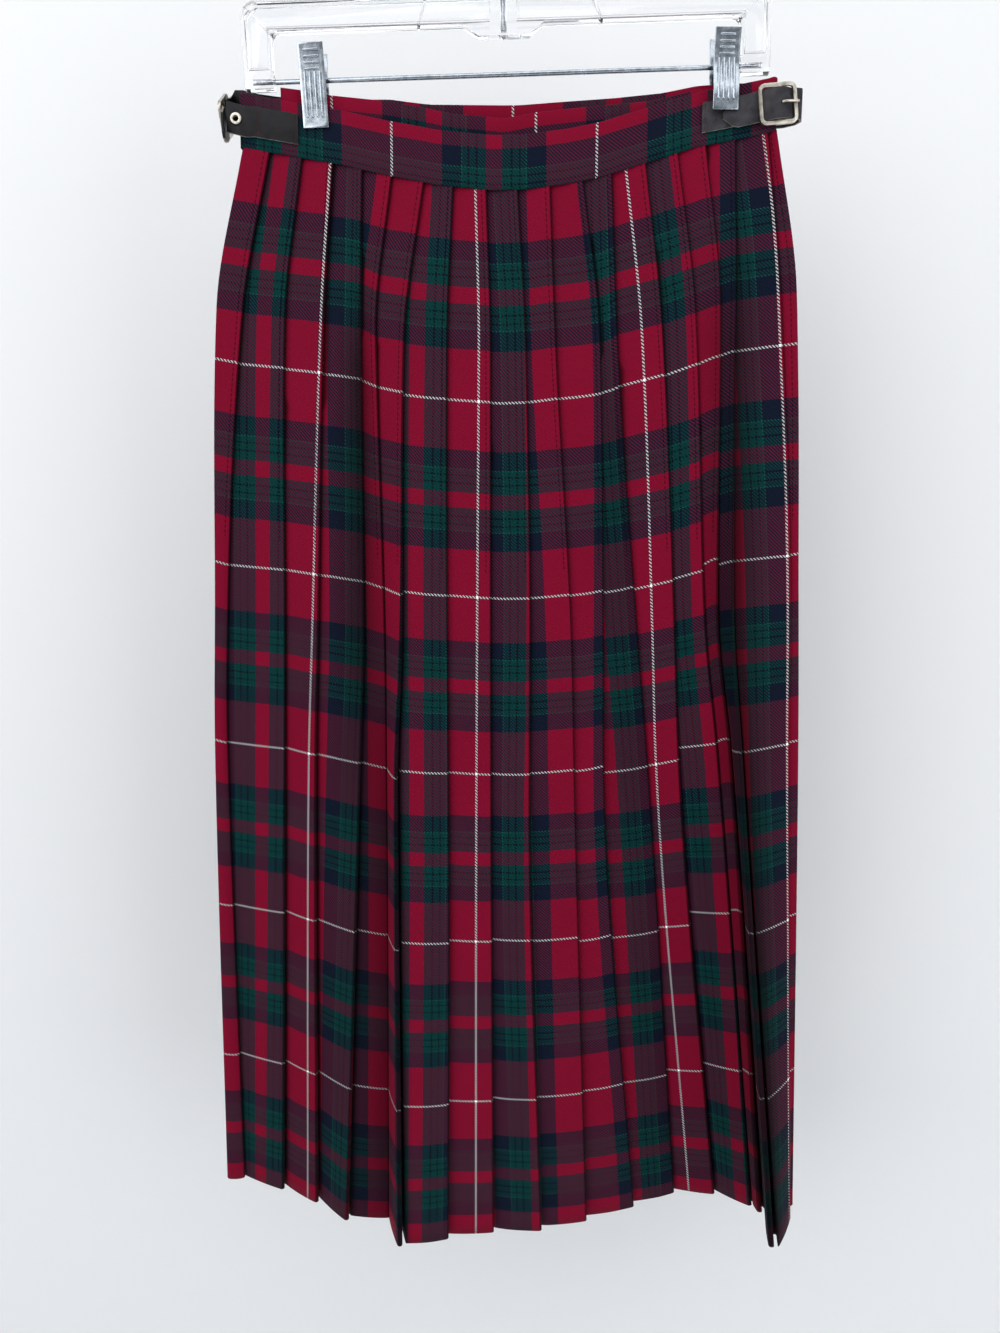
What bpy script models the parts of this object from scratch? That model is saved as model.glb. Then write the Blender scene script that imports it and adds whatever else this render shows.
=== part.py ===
"""Kilt skirt on a clip hanger.

A knife-pleated wool skirt hangs from two spring clips by its waistband. The pleated back faces -Y, the
two flat aprons hang behind it and a leather strap closes each hip. Metres, +Z up. The origin is the
highest point inside the hanger's hook, where a rail carries the whole thing.
"""
import math

import bmesh
import bpy
from mathutils import Matrix, Vector

MM = 0.001

# Driving dimensions of the skirt, in metres
BAND_HEIGHT = 0.0355
BAND_WALL = 0.002
CLOTH_WALL = 0.001
SEAM_GAP = 0.0003
CLOTH_SEAM_GAP = 0.0008
BAND_JOIN_GAP = 0.0009
SKIRT_DROP = 0.802
PLEAT_CLOTH = 0.0568
FELL_DEPTH = 0.155
LAYER_PITCH_SEWN = 0.00145
LAYER_PITCH_HEM = 0.0034
SIDE_CORNER = 0.0022
FOLD_CLEARANCE = 0.0016
LEAST_TURN = 0.05

# Driving dimensions of the straps and buckles
STRAP_HEIGHT = 0.0195
STRAP_WALL = 0.0016
STRAP_OUT = BAND_WALL / 2 + SEAM_GAP + STRAP_WALL / 2
BUCKLE_WIDTH = 0.0265
BUCKLE_HEIGHT = 0.026
BUCKLE_BAR = 0.0024
BUCKLE_DEPTH = 0.002
EYELET_OUTER = 0.0038
EYELET_INNER = 0.0019

# Driving dimensions of the hanger, which hangs with its right end higher
HANGER_TILT = math.radians(1.8)
HANGER_LEFT = -0.176
HANGER_RIGHT = 0.179
HANGER_THICK = 0.007
ARM_TOP = -0.057
ARM_BOTTOM = -0.0765
LEG_BOTTOM = -0.112
LEG_WIDTH = 0.0195
ROD_Z = -0.107
ROD_RADIUS = 0.0016
HOOK_WIRE = 0.0018
HOOK_INNER = 0.021
CLIP_WIDTH = 0.0172
CLIP_SHEET = 0.0012

# Height of the back waist seam, millimetres: how far across, height
WAIST_SEAM = (
    (-176.0, -155.0), (-138.0, -161.0), (-107.0, -166.2), (-76.0, -173.6), (-42.0, -180.2), (-4.0, -184.0),
    (15.6, -183.4), (45.6, -179.6), (68.7, -175.0), (97.2, -166.2), (134.0, -154.6), (187.0, -145.0))

# Top edge of the under apron's waistband, the same columns
UNDER_TOP = (
    (-149.0, -115.0), (-134.0, -116.8), (-114.6, -120.0), (-75.5, -123.7), (-53.0, -127.4), (-33.0, -131.3),
    (3.4, -134.4), (24.3, -130.6), (56.7, -127.4), (100.6, -123.7), (133.0, -116.8), (187.0, -110.5))

# Top edge of the outer apron's waistband, the same columns
OUTER_TOP = (
    (-176.0, -120.0), (-120.0, -122.0), (-75.5, -120.5), (-48.0, -123.2), (13.5, -123.2), (36.5, -121.6),
    (74.0, -119.3), (110.6, -116.8), (134.0, -113.0), (182.0, -110.5))

# Depth of the three waistband layers, millimetres: across, then near, under and outer at the top edge,
# then near, under and outer at the seam. The clips pinch them at -127 and 152.
LAYER_DEPTHS = (
    (-176.0, -3.2, 0.0, 3.8, -5.8, 0.8, 5.6), (-155.0, -2.8, 0.0, 3.2, -5.6, 0.8, 5.4),
    (-139.0, -2.6, 0.0, 2.6, -5.5, 1.0, 5.0), (-114.0, -2.6, 0.0, 2.6, -5.5, 1.0, 5.0),
    (-60.0, -7.5, 0.3, 6.5, -9.0, 1.0, 8.0), (0.0, -10.0, 0.0, 8.0, -11.5, 1.0, 9.0),
    (80.0, -8.0, 0.0, 7.0, -9.5, 1.0, 8.0), (139.0, -2.6, 0.0, 2.6, -5.5, 1.2, 5.0),
    (165.0, -2.6, 0.0, 2.6, -5.5, 1.2, 5.0), (187.0, -3.2, 2.2, 5.0, -6.0, 3.0, 7.0))

# How far below the seam the across columns of FOLDS are measured, millimetres
FOLD_STATIONS = (0.0, 103.0, 320.0, 422.0, 802.0)

# One row for each pleat's right-hand fold edge, the first row being the skirt's left side, millimetres:
# across at each station, depth at the hem, how far below the seam the fold leaves the seam's plane,
# and the share of the pleat in front that the underlap may fill
FOLDS = (
    (-175.0, -199.0, -213.0, -219.0, -231.0, 23.0, 0.0, 0.85),
    (-158.0, -182.0, -205.0, -211.0, -219.0, 27.0, 0.0, 0.85),
    (-136.0, -152.0, -161.7, -166.3, -184.6, 18.0, 0.0, 0.85),
    (-115.5, -124.6, -136.3, -141.8, -154.2, 7.0, 0.0, 0.85),
    (-95.0, -98.3, -102.0, -107.0, -127.0, -8.0, 0.0, 0.85),
    (-75.0, -88.0, -86.3, -87.0, -93.0, 0.0, 0.0, 0.85),
    (-53.0, -68.0, -73.5, -78.5, -82.0, -25.0, 0.0, 0.85),
    (-33.0, -38.0, -39.8, -39.8, -43.6, -15.0, 0.0, 0.85),
    (-10.5, -7.6, -8.0, -8.0, -7.0, -5.0, 0.0, 0.85),
    (11.0, 17.0, 21.0, 21.0, 32.2, -3.0, 0.0, 0.85),
    (33.0, 38.0, 52.2, 55.4, 70.3, 5.0, 0.0, 0.85),
    (55.5, 69.2, 75.9, 78.3, 111.3, 17.0, 0.0, 0.85),
    (75.0, 81.3, 101.9, 112.8, 147.2, 28.0, 0.0, 0.85),
    (98.0, 112.5, 128.8, 135.5, 178.4, 18.0, 0.0, 0.85),
    (120.0, 135.6, 149.5, 162.6, 203.2, -4.0, 0.0, 0.85),
    (139.0, 152.6, 157.5, 170.0, 207.3, -17.0, 0.0, 0.6),
    (159.0, 163.5, 166.5, 174.0, 205.3, -58.0, 150.0, 0.6),
    (181.0, 194.6, 210.3, 213.0, 228.2, -34.0, 150.0, 0.5),
    (188.0, 206.6, 217.7, 222.0, 234.0, -22.0, 150.0, 0.35))

# Rows of the hanging cloth below the seam, as shares of the drop
CLOTH_ROWS = (0.0, 0.06, 0.13, 0.195, 0.26, 0.33, 0.4, 0.47, 0.54, 0.62, 0.7, 0.78, 0.86, 0.93, 1.0)

# Hem of the aprons: depth, depth of their soft waves, and the across reach at the seam and at the hem
OUTER_HEM_DEPTH = 0.058
UNDER_HEM_DEPTH = 0.049
APRON_WAVE = 0.0018
APRON_WAVE_LENGTH = 0.17
OUTER_FREE_EDGE = (0.181, 0.222)
UNDER_FREE_EDGE = (-0.149, -0.186)
APRON_COLUMNS = 17

COLOURS = {
    "wool": (0.085, 0.008, 0.02, 1.0),
    "leather": (0.012, 0.012, 0.014, 1.0),
    "nickel": (0.62, 0.6, 0.56, 1.0),
    "clear": (0.86, 0.88, 0.89, 1.0),
    "steel": (0.66, 0.68, 0.7, 1.0)}


def lookup(table, x, column=1):
    """Reads a table's column at x, straight between its rows and held beyond its ends."""
    if x <= table[0][0]:
        return table[0][column]
    for low, high in zip(table, table[1:]):
        if x <= high[0]:
            share = (x - low[0]) / (high[0] - low[0])
            return low[column] + share * (high[column] - low[column])
    return table[-1][column]


def smooth(stations, values, at):
    """Reads a smooth curve through the values, with no overshoot between them."""
    slopes = [(b - a) / (q - p) for p, q, a, b in zip(stations, stations[1:], values, values[1:])]
    tangents = [slopes[0]]
    for left, right in zip(slopes, slopes[1:]):
        flat = left * right <= 0
        tangents.append(0.0 if flat else 2 * left * right / (left + right))
    tangents.append(slopes[-1])
    for i in range(len(slopes)):
        if at <= stations[i + 1] or i == len(slopes) - 1:
            span = stations[i + 1] - stations[i]
            t = (at - stations[i]) / span
            t2, t3 = t * t, t * t * t
            return ((2 * t3 - 3 * t2 + 1) * values[i] + (t3 - 2 * t2 + t) * span * tangents[i]
                    + (3 * t2 - 2 * t3) * values[i + 1] + (t3 - t2) * span * tangents[i + 1])


def material(kind, roughness, metallic=0.0):
    """Makes one plain material for one piece."""
    made = bpy.data.materials.new(kind)
    made.use_nodes = True
    shader = made.node_tree.nodes["Principled BSDF"]
    shader.inputs["Base Color"].default_value = COLOURS[kind]
    shader.inputs["Roughness"].default_value = roughness
    shader.inputs["Metallic"].default_value = metallic
    if kind == "clear":
        shader.inputs["Transmission Weight"].default_value = 0.9
    return made


FINISH = {"wool": (0.9, 0.0), "leather": (0.5, 0.0), "nickel": (0.3, 1.0), "clear": (0.08, 0.0),
          "steel": (0.2, 1.0)}


def finish(name, shape, kind, parent=None):
    """Closes a bmesh into a named object with its faces pointing out."""
    bmesh.ops.recalc_face_normals(shape, faces=shape.faces)
    mesh = bpy.data.meshes.new(name)
    shape.to_mesh(mesh)
    shape.free()
    made = bpy.data.objects.new(name, mesh)
    bpy.context.scene.collection.objects.link(made)
    mesh.materials.append(material(kind, *FINISH[kind]))
    if parent is not None:
        made.parent = parent
    return made


def cut(target, cutters):
    """Takes the cutters' shapes out of the target."""
    for cutter in cutters:
        cutter.hide_render = True
        cutter.display_type = "WIRE"
        hole = target.modifiers.new("cut_" + cutter.name, "BOOLEAN")
        hole.operation = "DIFFERENCE"
        hole.solver = "EXACT"
        hole.object = cutter


MITRE_LIMIT = 0.45


def wall(name, rows, thickness, kind):
    """Turns rows of middle points into a closed wall, thickened level with the ground.

    Going along a row, the wall's inner side is on the left-hand side seen from above.
    """
    shape = bmesh.new()
    rings = []
    for row in rows:
        front = []
        back = []
        last = len(row) - 1
        for i, point in enumerate(row):
            before = (point - row[i - 1]).xy.normalized() if i > 0 else None
            after = (row[i + 1] - point).xy.normalized() if i < last else None
            first_way = before or after
            second_way = after or before
            left_a = Vector((-first_way.y, first_way.x))
            left_b = Vector((-second_way.y, second_way.x))
            middle = (left_a + left_b).normalized()
            reach = thickness / 2 / max(middle.dot(left_a), MITRE_LIMIT)
            side = Vector((middle.x * reach, middle.y * reach, 0.0))
            front.append(shape.verts.new(point - side))
            back.append(shape.verts.new(point + side))
        rings.append(front + back[::-1])
    count = len(rings[0])
    for upper, lower in zip(rings, rings[1:]):
        for i in range(count):
            j = (i + 1) % count
            if upper[j].co.x >= upper[i].co.x:
                shape.faces.new((upper[i], upper[j], lower[j]))
                shape.faces.new((upper[i], lower[j], lower[i]))
            else:
                shape.faces.new((upper[i], upper[j], lower[i]))
                shape.faces.new((upper[j], lower[j], lower[i]))
    for ring in (rings[0], rings[-1]):
        for i in range(count // 2 - 1):
            a, b, c, d = ring[i], ring[i + 1], ring[count - 2 - i], ring[count - 1 - i]
            shape.faces.new((a, b, c))
            shape.faces.new((a, c, d))
    return finish(name, shape, kind)


# Waistband layers, each read by how far across and how high up the band a point is

LAYERS = {"near": (1, 4), "under": (2, 5), "outer": (3, 6)}


def layer_depth(layer, x, share):
    """Depth of a waistband layer's middle, share running from 0 at the seam to 1 at the top."""
    top, seam = (lookup(LAYER_DEPTHS, x / MM, column) * MM for column in LAYERS[layer])
    return top + (seam - top) * (1.0 - share) ** 2


def seam_height(layer, x):
    """Height of a layer's waist seam, which is the lower edge of its band."""
    if layer == "near":
        return lookup(WAIST_SEAM, x / MM) * MM
    table = UNDER_TOP if layer == "under" else OUTER_TOP
    return lookup(table, x / MM) * MM - BAND_HEIGHT


def band_point(layer, x, share, out=0.0):
    """Middle point of a band, or a point that lies out from it, towards the camera side."""
    return Vector((x, layer_depth(layer, x, share) - out, seam_height(layer, x) + share * BAND_HEIGHT))


def band_columns(first, last):
    """Places across a band: its ends, and between them the depth table's places and their midpoints."""
    known = [row[0] * MM for row in LAYER_DEPTHS]
    known += [(a + b) / 2 for a, b in zip(known, known[1:])]
    return [first] + [x for x in sorted(known) if first + COLUMN_MARGIN < x < last - COLUMN_MARGIN] + [last]


def spread(first, last, count):
    """Evenly spaced values from first to last."""
    return [first + (last - first) * i / (count - 1) for i in range(count)]


def side_turn(x_side, y_front, y_back, z, towards):
    """Round corner at a side edge, from the back layer's plane to the front layer's plane."""
    corner = min(SIDE_CORNER, 0.4 * (y_back - y_front))
    cut_in = (1.0 - math.sqrt(0.5)) * corner
    points = [(x_side + towards * corner, y_back), (x_side + towards * cut_in, y_back - cut_in),
              (x_side, y_back - corner), (x_side, y_front + corner),
              (x_side + towards * cut_in, y_front + cut_in), (x_side + towards * corner, y_front)]
    return [Vector((x, y, z)) for x, y in points]


BACK_BAND_LEFT = -0.176
BACK_BAND_RIGHT = 0.187
UNDER_BAND_LEFT = -0.149
OUTER_BAND_RIGHT = 0.182
BAND_SHARES = (1.0, 0.67, 0.33, 0.0)
COLUMN_MARGIN = 0.004


def waistbands():
    """The three stretches of waistband: round the back, over the under apron, over the outer apron."""
    near_rows = []
    under_rows = []
    outer_rows = []
    for share in BAND_SHARES:
        left, right = BACK_BAND_LEFT, BACK_BAND_RIGHT
        near_z_left = band_point("near", left, share).z
        near_z_right = band_point("near", right, share).z
        y_left = layer_depth("near", left, share)
        y_left_far = layer_depth("outer", left, share)
        y_right = layer_depth("near", right, share)
        y_right_far = layer_depth("under", right, share)
        left_turn = side_turn(left, y_left, y_left_far, near_z_left, 1)
        right_turn = side_turn(right, y_right, y_right_far, near_z_right, -1)[::-1]
        middle = [band_point("near", x, share) for x in band_columns(left + 0.014, right - 0.012)]
        near_rows.append(left_turn + middle + right_turn)
        under_ends = (UNDER_BAND_LEFT, right_turn[-1].x - BAND_JOIN_GAP)
        under_rows.append([band_point("under", x, share) for x in band_columns(*under_ends)][::-1])
        outer_ends = (left_turn[0].x + BAND_JOIN_GAP, OUTER_BAND_RIGHT)
        outer_rows.append([band_point("outer", x, share) for x in band_columns(*outer_ends)])
    wall("waistband_back", near_rows, BAND_WALL, "wool")
    wall("waistband_under_apron", under_rows, BAND_WALL, "wool")
    wall("waistband_outer_apron", outer_rows, BAND_WALL, "wool")


def fold_place(number, drop):
    """Across and depth of one fold edge at a distance below the seam."""
    row = FOLDS[number]
    x = smooth(FOLD_STATIONS, row[:5], drop / MM) * MM
    seam_x = row[0] * MM
    seam_y = layer_depth("near", seam_x, 0.0) - (BAND_WALL - CLOTH_WALL) / 2
    opens = row[6] * MM
    opened = max(0.0, drop - opens) / (SKIRT_DROP - opens)
    return x, seam_y + (row[5] * MM - seam_y) * opened


def layer_pitch(drop):
    """Distance between the layers of a pleat, close where it is stitched and looser below."""
    below = max(0.0, drop - FELL_DEPTH) / (SKIRT_DROP - FELL_DEPTH)
    return LAYER_PITCH_SEWN + (LAYER_PITCH_HEM - LAYER_PITCH_SEWN) * below


def apron_depth(layer, x, drop):
    """Depth of an apron at a distance below its seam."""
    hem = OUTER_HEM_DEPTH if layer == "outer" else UNDER_HEM_DEPTH
    share = drop / SKIRT_DROP
    wave = APRON_WAVE * math.sin(2 * math.pi * x / APRON_WAVE_LENGTH) * share
    seam = layer_depth(layer, x, 0.0)
    return seam + (hem + wave - seam) * share


def pleat_section(drop):
    """One level's line through the pleated cloth, left side to right side, as across and depth pairs."""
    pitch = layer_pitch(drop)
    x_left, y_left = fold_place(0, drop)
    back_left = apron_depth("outer", x_left, drop)
    line = [p.xy for p in side_turn(x_left, y_left, back_left, 0.0, 1)]
    start = line[-1]
    for number in range(1, len(FOLDS)):
        edge = Vector(fold_place(number, drop))
        if number == len(FOLDS) - 1:
            back_right = apron_depth("under", edge.x, drop)
            line += [p.xy for p in side_turn(edge.x, edge.y, back_right, 0.0, -1)[::-1]]
            break
        way = (edge - start).normalized()
        inward = Vector((-way.y, way.x))
        visible = (edge - start).length
        line += [start + (edge - start) * 0.5, edge, edge + inward * pitch]
        next_edge = Vector(fold_place(number + 1, drop))
        emerge = edge + inward * 2 * pitch
        next_way = (next_edge - emerge).normalized()
        turned = max(0.0, next_way.x * way.y - next_way.y * way.x)
        if turned > LEAST_TURN:
            emerge += way * max(0.0, (FOLD_CLEARANCE - pitch * next_way.dot(way)) / turned)
        next_visible = (next_edge - emerge).length
        tuck = min((PLEAT_CLOTH - next_visible) / 2, visible * FOLDS[number + 1][7])
        tuck = max(tuck, 2 * pitch)
        behind = edge + inward * 2 * pitch
        line += [edge + inward * pitch - way * tuck, behind - way * tuck, emerge]
        start = emerge
    return line


def pleated_back():
    """The length of cloth laid in knife pleats, one wall from side to side."""
    seam_line = pleat_section(0.0)
    rows = []
    for share in CLOTH_ROWS:
        drop = share * SKIRT_DROP
        section = pleat_section(drop)
        rows.append([Vector((p.x, p.y, seam_height("near", at_seam.x) - CLOTH_SEAM_GAP - drop))
                     for p, at_seam in zip(section, seam_line)])
    wall("pleated_back", rows, CLOTH_WALL, "wool")


def aprons():
    """The flat outer apron and the under apron between it and the pleats."""
    for layer in ("outer", "under"):
        rows = []
        for share in CLOTH_ROWS:
            drop = share * SKIRT_DROP
            section = pleat_section(drop)
            seam_section = pleat_section(0.0)
            if layer == "outer":
                seam_ends = (seam_section[0].x + SEAM_GAP, OUTER_FREE_EDGE[0])
                free = OUTER_FREE_EDGE[0] + (OUTER_FREE_EDGE[1] - OUTER_FREE_EDGE[0]) * share
                ends = (section[0].x + SEAM_GAP, free)
            else:
                seam_ends = (seam_section[-1].x - SEAM_GAP, UNDER_FREE_EDGE[0])
                free = UNDER_FREE_EDGE[0] + (UNDER_FREE_EDGE[1] - UNDER_FREE_EDGE[0]) * share
                ends = (section[-1].x - SEAM_GAP, free)
            row = []
            for x, seam_x in zip(spread(*ends, APRON_COLUMNS), spread(*seam_ends, APRON_COLUMNS)):
                z = seam_height(layer, seam_x) - CLOTH_SEAM_GAP - drop
                row.append(Vector((x, apron_depth(layer, x, drop), z)))
            rows.append(row)
        wall(layer + "_apron", rows, CLOTH_WALL, "wool")


# Hanger, built level and then tilted by its parent

def prism(name, outline, y_front, y_back, kind="clear", parent=None):
    """Extrudes an outline in across and height from one depth to another."""
    shape = bmesh.new()
    front = [shape.verts.new((x, y_front, z)) for x, z in outline]
    back = [shape.verts.new((x, y_back, z)) for x, z in outline]
    shape.faces.new(front)
    shape.faces.new(back[::-1])
    count = len(outline)
    for i in range(count):
        j = (i + 1) % count
        shape.faces.new((front[j], front[i], back[i], back[j]))
    return finish(name, shape, kind, parent)


def arc(cx, cz, radius, start, end, steps):
    """Points along an arc, angles in degrees from +X towards +Z."""
    return [(cx + radius * math.cos(math.radians(a)), cz + radius * math.sin(math.radians(a)))
            for a in spread(start, end, steps)]


def cylinder(name, start, end, radius, sides, kind, parent=None):
    """A round bar between two points."""
    shape = bmesh.new()
    way = Vector(end) - Vector(start)
    turn = way.to_track_quat("Z", "Y").to_matrix().to_4x4()
    place = Matrix.Translation((Vector(start) + Vector(end)) / 2) @ turn
    bmesh.ops.create_cone(shape, cap_ends=True, segments=sides, radius1=radius, radius2=radius,
                          depth=way.length, matrix=place)
    return finish(name, shape, kind, parent)


def tube(name, path, radius, sides, kind, parent=None):
    """A round wire along a path, with flat ends."""
    shape = bmesh.new()
    points = [Vector(p) for p in path]
    rings = []
    for i, point in enumerate(points):
        before = points[max(i - 1, 0)]
        after = points[min(i + 1, len(points) - 1)]
        way = (after - before).normalized()
        side = Vector((0.0, 1.0, 0.0)) if abs(way.y) < 0.7 else Vector((0.0, 0.0, 1.0))
        up = way.cross(side).normalized()
        side = up.cross(way)
        ring = []
        for k in range(sides):
            angle = 2 * math.pi * k / sides
            spoke = up * math.cos(angle) + side * math.sin(angle)
            ring.append(shape.verts.new(point + spoke * radius))
        rings.append(ring)
    for low, high in zip(rings, rings[1:]):
        for k in range(sides):
            j = (k + 1) % sides
            shape.faces.new((low[k], low[j], high[j], high[k]))
    shape.faces.new(rings[0][::-1])
    shape.faces.new(rings[-1])
    return finish(name, shape, kind, parent)


CORNER = 0.011
POCKET_RIM = 0.0026
POCKET_DEPTH = 0.0023
POCKET_CHAMFER = 0.007
STEM_COLUMN = 0.009
BOSS_LEFT = -0.017
BOSS_RIGHT = 0.017
BOSS_BOTTOM = -0.084
SOCKET_TOP = -0.099
SOCKET_DEPTH = 0.014


def hanger(parent):
    """The clear frame, its hook and the rod that the clips ride on."""
    inner_left = HANGER_LEFT + LEG_WIDTH
    inner_right = HANGER_RIGHT - LEG_WIDTH
    outline = [(HANGER_LEFT, LEG_BOTTOM)]
    outline += [(inner_left, LEG_BOTTOM)] + arc(inner_left + 0.005, ARM_BOTTOM - 0.005, 0.005, 180, 90, 4)
    outline += [(BOSS_LEFT - 0.01, ARM_BOTTOM), (BOSS_LEFT, BOSS_BOTTOM), (BOSS_RIGHT, BOSS_BOTTOM)]
    outline += [(BOSS_RIGHT + 0.01, ARM_BOTTOM)]
    outline += arc(inner_right - 0.005, ARM_BOTTOM - 0.005, 0.005, 90, 0, 4)
    outline += [(inner_right, LEG_BOTTOM), (HANGER_RIGHT, LEG_BOTTOM)]
    outline += arc(HANGER_RIGHT - CORNER, ARM_TOP - CORNER, CORNER, 0, 90, 6)
    outline += arc(HANGER_LEFT + CORNER, ARM_TOP - CORNER, CORNER, 90, 180, 6)
    half = HANGER_THICK / 2
    frame = prism("hanger_frame", outline, -half, half, parent=parent)
    cutters = []
    for side, outer, inner in ((-1, HANGER_LEFT, inner_left), (1, HANGER_RIGHT, inner_right)):
        leg_outer = outer - side * POCKET_RIM
        leg_inner = inner + side * POCKET_RIM
        top = ARM_TOP - POCKET_RIM
        bottom = ARM_BOTTOM + POCKET_RIM
        stem = side * STEM_COLUMN
        pocket = [(leg_outer, SOCKET_TOP), (leg_outer, top - POCKET_CHAMFER),
                  (leg_outer - side * POCKET_CHAMFER, top), (stem, top), (stem, bottom),
                  (leg_inner, bottom), (leg_inner, SOCKET_TOP)]
        for face in (-1, 1):
            deep = face * (half - POCKET_DEPTH)
            proud = face * (half + 0.001)
            cutters.append(prism(f"pocket_{side}_{face}", pocket, deep, proud, parent=parent))
        mouth = (inner - side * 0.002, 0.0, ROD_Z)
        floor = (inner + side * SOCKET_DEPTH, 0.0, ROD_Z)
        cutters.append(cylinder(f"socket_{side}", mouth, floor, ROD_RADIUS + SEAM_GAP, 16, "clear", parent))
    stem_hole = ((0.0, 0.0, ARM_TOP + 0.002), (0.0, 0.0, BOSS_BOTTOM + 0.003))
    cutters.append(cylinder("stem_hole", *stem_hole, HOOK_WIRE + SEAM_GAP, 16, "clear", parent))
    cut(frame, cutters)
    reach = SOCKET_DEPTH - 0.002
    rod_ends = (inner_left - reach, 0.0, ROD_Z), (inner_right + reach, 0.0, ROD_Z)
    cylinder("hanger_rod", *rod_ends, ROD_RADIUS, 14, "steel", parent)
    ring = HOOK_INNER + HOOK_WIRE
    centre_z = -HOOK_INNER
    path = [(0.0, 0.0, BOSS_BOTTOM + 0.0035), (0.0, 0.0, -0.056)]
    path += [(0.0008, 0.0, -0.0535), (0.003, 0.0, -0.051), (0.0066, 0.0, -0.0480)]
    path += [(x, 0.0, z) for x, z in arc(0.0, centre_z, ring, -62, 205, 24)]
    tube("hanger_hook", path, HOOK_WIRE, 10, "steel", parent)


# One row per clip, millimetres: across and height of the rod in the clip, tilt in degrees, how far the
# plates reach above and below the rod, and how far in front and behind the two jaws' inner faces stand
CLIPS = {
    "left": (-126.0, -111.0, -2.4, 20.5, 31.5, 4.9, 5.0),
    "right": (151.8, -102.2, 0.5, 21.0, 30.4, 9.3, 5.0)}
SLEEVE_RADIUS = 0.0050
SLEEVE_LENGTH = 0.0138
BEND_HEIGHT = 0.0045
GRIP_RIBS = 4
RIB_PITCH = 0.0034
RIB_SHAPE = ((0.0, 0.0), (0.0005, 0.0007), (0.0013, 0.0007), (0.0018, 0.0))


def clip_plate(name, side, jaw, up, down, place):
    """One pressed plate: a ribbed thumb grip on top, a bend over the spring and a flat jaw."""
    spring = SLEEVE_RADIUS + SEAM_GAP
    knee = max(spring + 0.0006, jaw)
    inner = [(spring + 0.0035, up), (spring + 0.0006, BEND_HEIGHT), (spring + 0.0006, -BEND_HEIGHT),
             (knee if jaw > spring else (jaw + spring) / 2, -0.0155), (jaw, 0.008 - down), (jaw, -down)]
    (top_y, top_z), (low_y, low_z) = inner[0], inner[1]
    outer = [(top_y + CLIP_SHEET, top_z)]
    for k in range(GRIP_RIBS):
        for offset, rise in RIB_SHAPE:
            z = top_z - 0.0025 - k * RIB_PITCH - offset
            share = (top_z - z) / (top_z - low_z)
            outer.append((top_y + (low_y - top_y) * share + CLIP_SHEET + rise, z))
    outer += [(y + CLIP_SHEET, z) for y, z in inner[1:]]
    profile = inner + outer[::-1]
    shape = bmesh.new()
    half = CLIP_WIDTH / 2
    left = [shape.verts.new(place @ Vector((-half, side * y, z))) for y, z in profile]
    right = [shape.verts.new(place @ Vector((half, side * y, z))) for y, z in profile]
    shape.faces.new(left)
    shape.faces.new(right[::-1])
    for i in range(len(profile)):
        j = (i + 1) % len(profile)
        shape.faces.new((left[j], left[i], right[i], right[j]))
    return finish(name, shape, "steel")


def clips():
    """Two spring clips: a front plate, a rear plate and the coil between them round the rod."""
    for name, (x, z, tilt, up, down, front, rear) in CLIPS.items():
        place = Matrix.Translation((x * MM, 0.0, z * MM)) @ Matrix.Rotation(math.radians(tilt), 4, "Y")
        clip_plate(f"clip_{name}_front", -1, front * MM, up * MM, down * MM, place)
        clip_plate(f"clip_{name}_rear", 1, rear * MM, up * MM, down * MM, place)
        way = Matrix.Rotation(-HANGER_TILT, 4, "Y") @ Vector((SLEEVE_LENGTH / 2, 0.0, 0.0))
        centre = Vector((x * MM, 0.0, rod_height(x * MM)))
        sleeve = cylinder(f"clip_{name}_spring", centre - way, centre + way, SLEEVE_RADIUS, 16, "steel")
        bore_ends = centre - way * 1.2, centre + way * 1.2
        bore = cylinder(f"bore_{name}", *bore_ends, ROD_RADIUS + SEAM_GAP, 14, "steel")
        cut(sleeve, [bore])


def rod_height(x):
    """Height of the tilted rod's middle at a distance across."""
    return ROD_Z / math.cos(HANGER_TILT) + x * math.tan(HANGER_TILT)


# Straps and buckles

def buckle(name, place):
    """A flat rounded frame with a bar across its middle."""
    def rounded(width, height, radius, offset=0.0):
        half_w = width / 2 - radius
        half_h = height / 2 - radius
        points = []
        for cx, cz, start in ((half_w, half_h, 0), (-half_w, half_h, 90), (-half_w, -half_h, 180),
                              (half_w, -half_h, 270)):
            points += arc(cx + offset, cz, radius, start, start + 90, 4)
        return points
    frame = prism(name, rounded(BUCKLE_WIDTH, BUCKLE_HEIGHT, 0.0045), -BUCKLE_DEPTH / 2, BUCKLE_DEPTH / 2,
                  kind="nickel")
    bar = 0.0018
    window = (BUCKLE_WIDTH - 2 * BUCKLE_BAR - bar) / 2
    cutters = []
    for side in (-1, 1):
        outline = rounded(window, BUCKLE_HEIGHT - 2 * BUCKLE_BAR, 0.0022, side * (window + bar) / 2)
        cutters.append(prism(f"{name}_window_{side}", outline, -BUCKLE_DEPTH, BUCKLE_DEPTH, kind="nickel"))
    cut(frame, cutters)
    for piece in [frame] + cutters:
        piece.matrix_world = place
    return frame


TAB_SHARE = STRAP_HEIGHT / BAND_HEIGHT / 2
BAND_MIDDLE = 0.5
HOLE_RADIUS = 0.0014
TONGUE_RADIUS = 0.0009
TONGUE_HOLE = 0.0023

# The tongue's line in its buckle, millimetres: along the strap and out from the frame's middle
TONGUE_LINE = ((2.15, -0.2), (2.25, 1.6), (2.6, 3.1), (3.8, 3.9), (6.0, 3.7), (11.5, 2.5), (14.0, 2.1))

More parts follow.
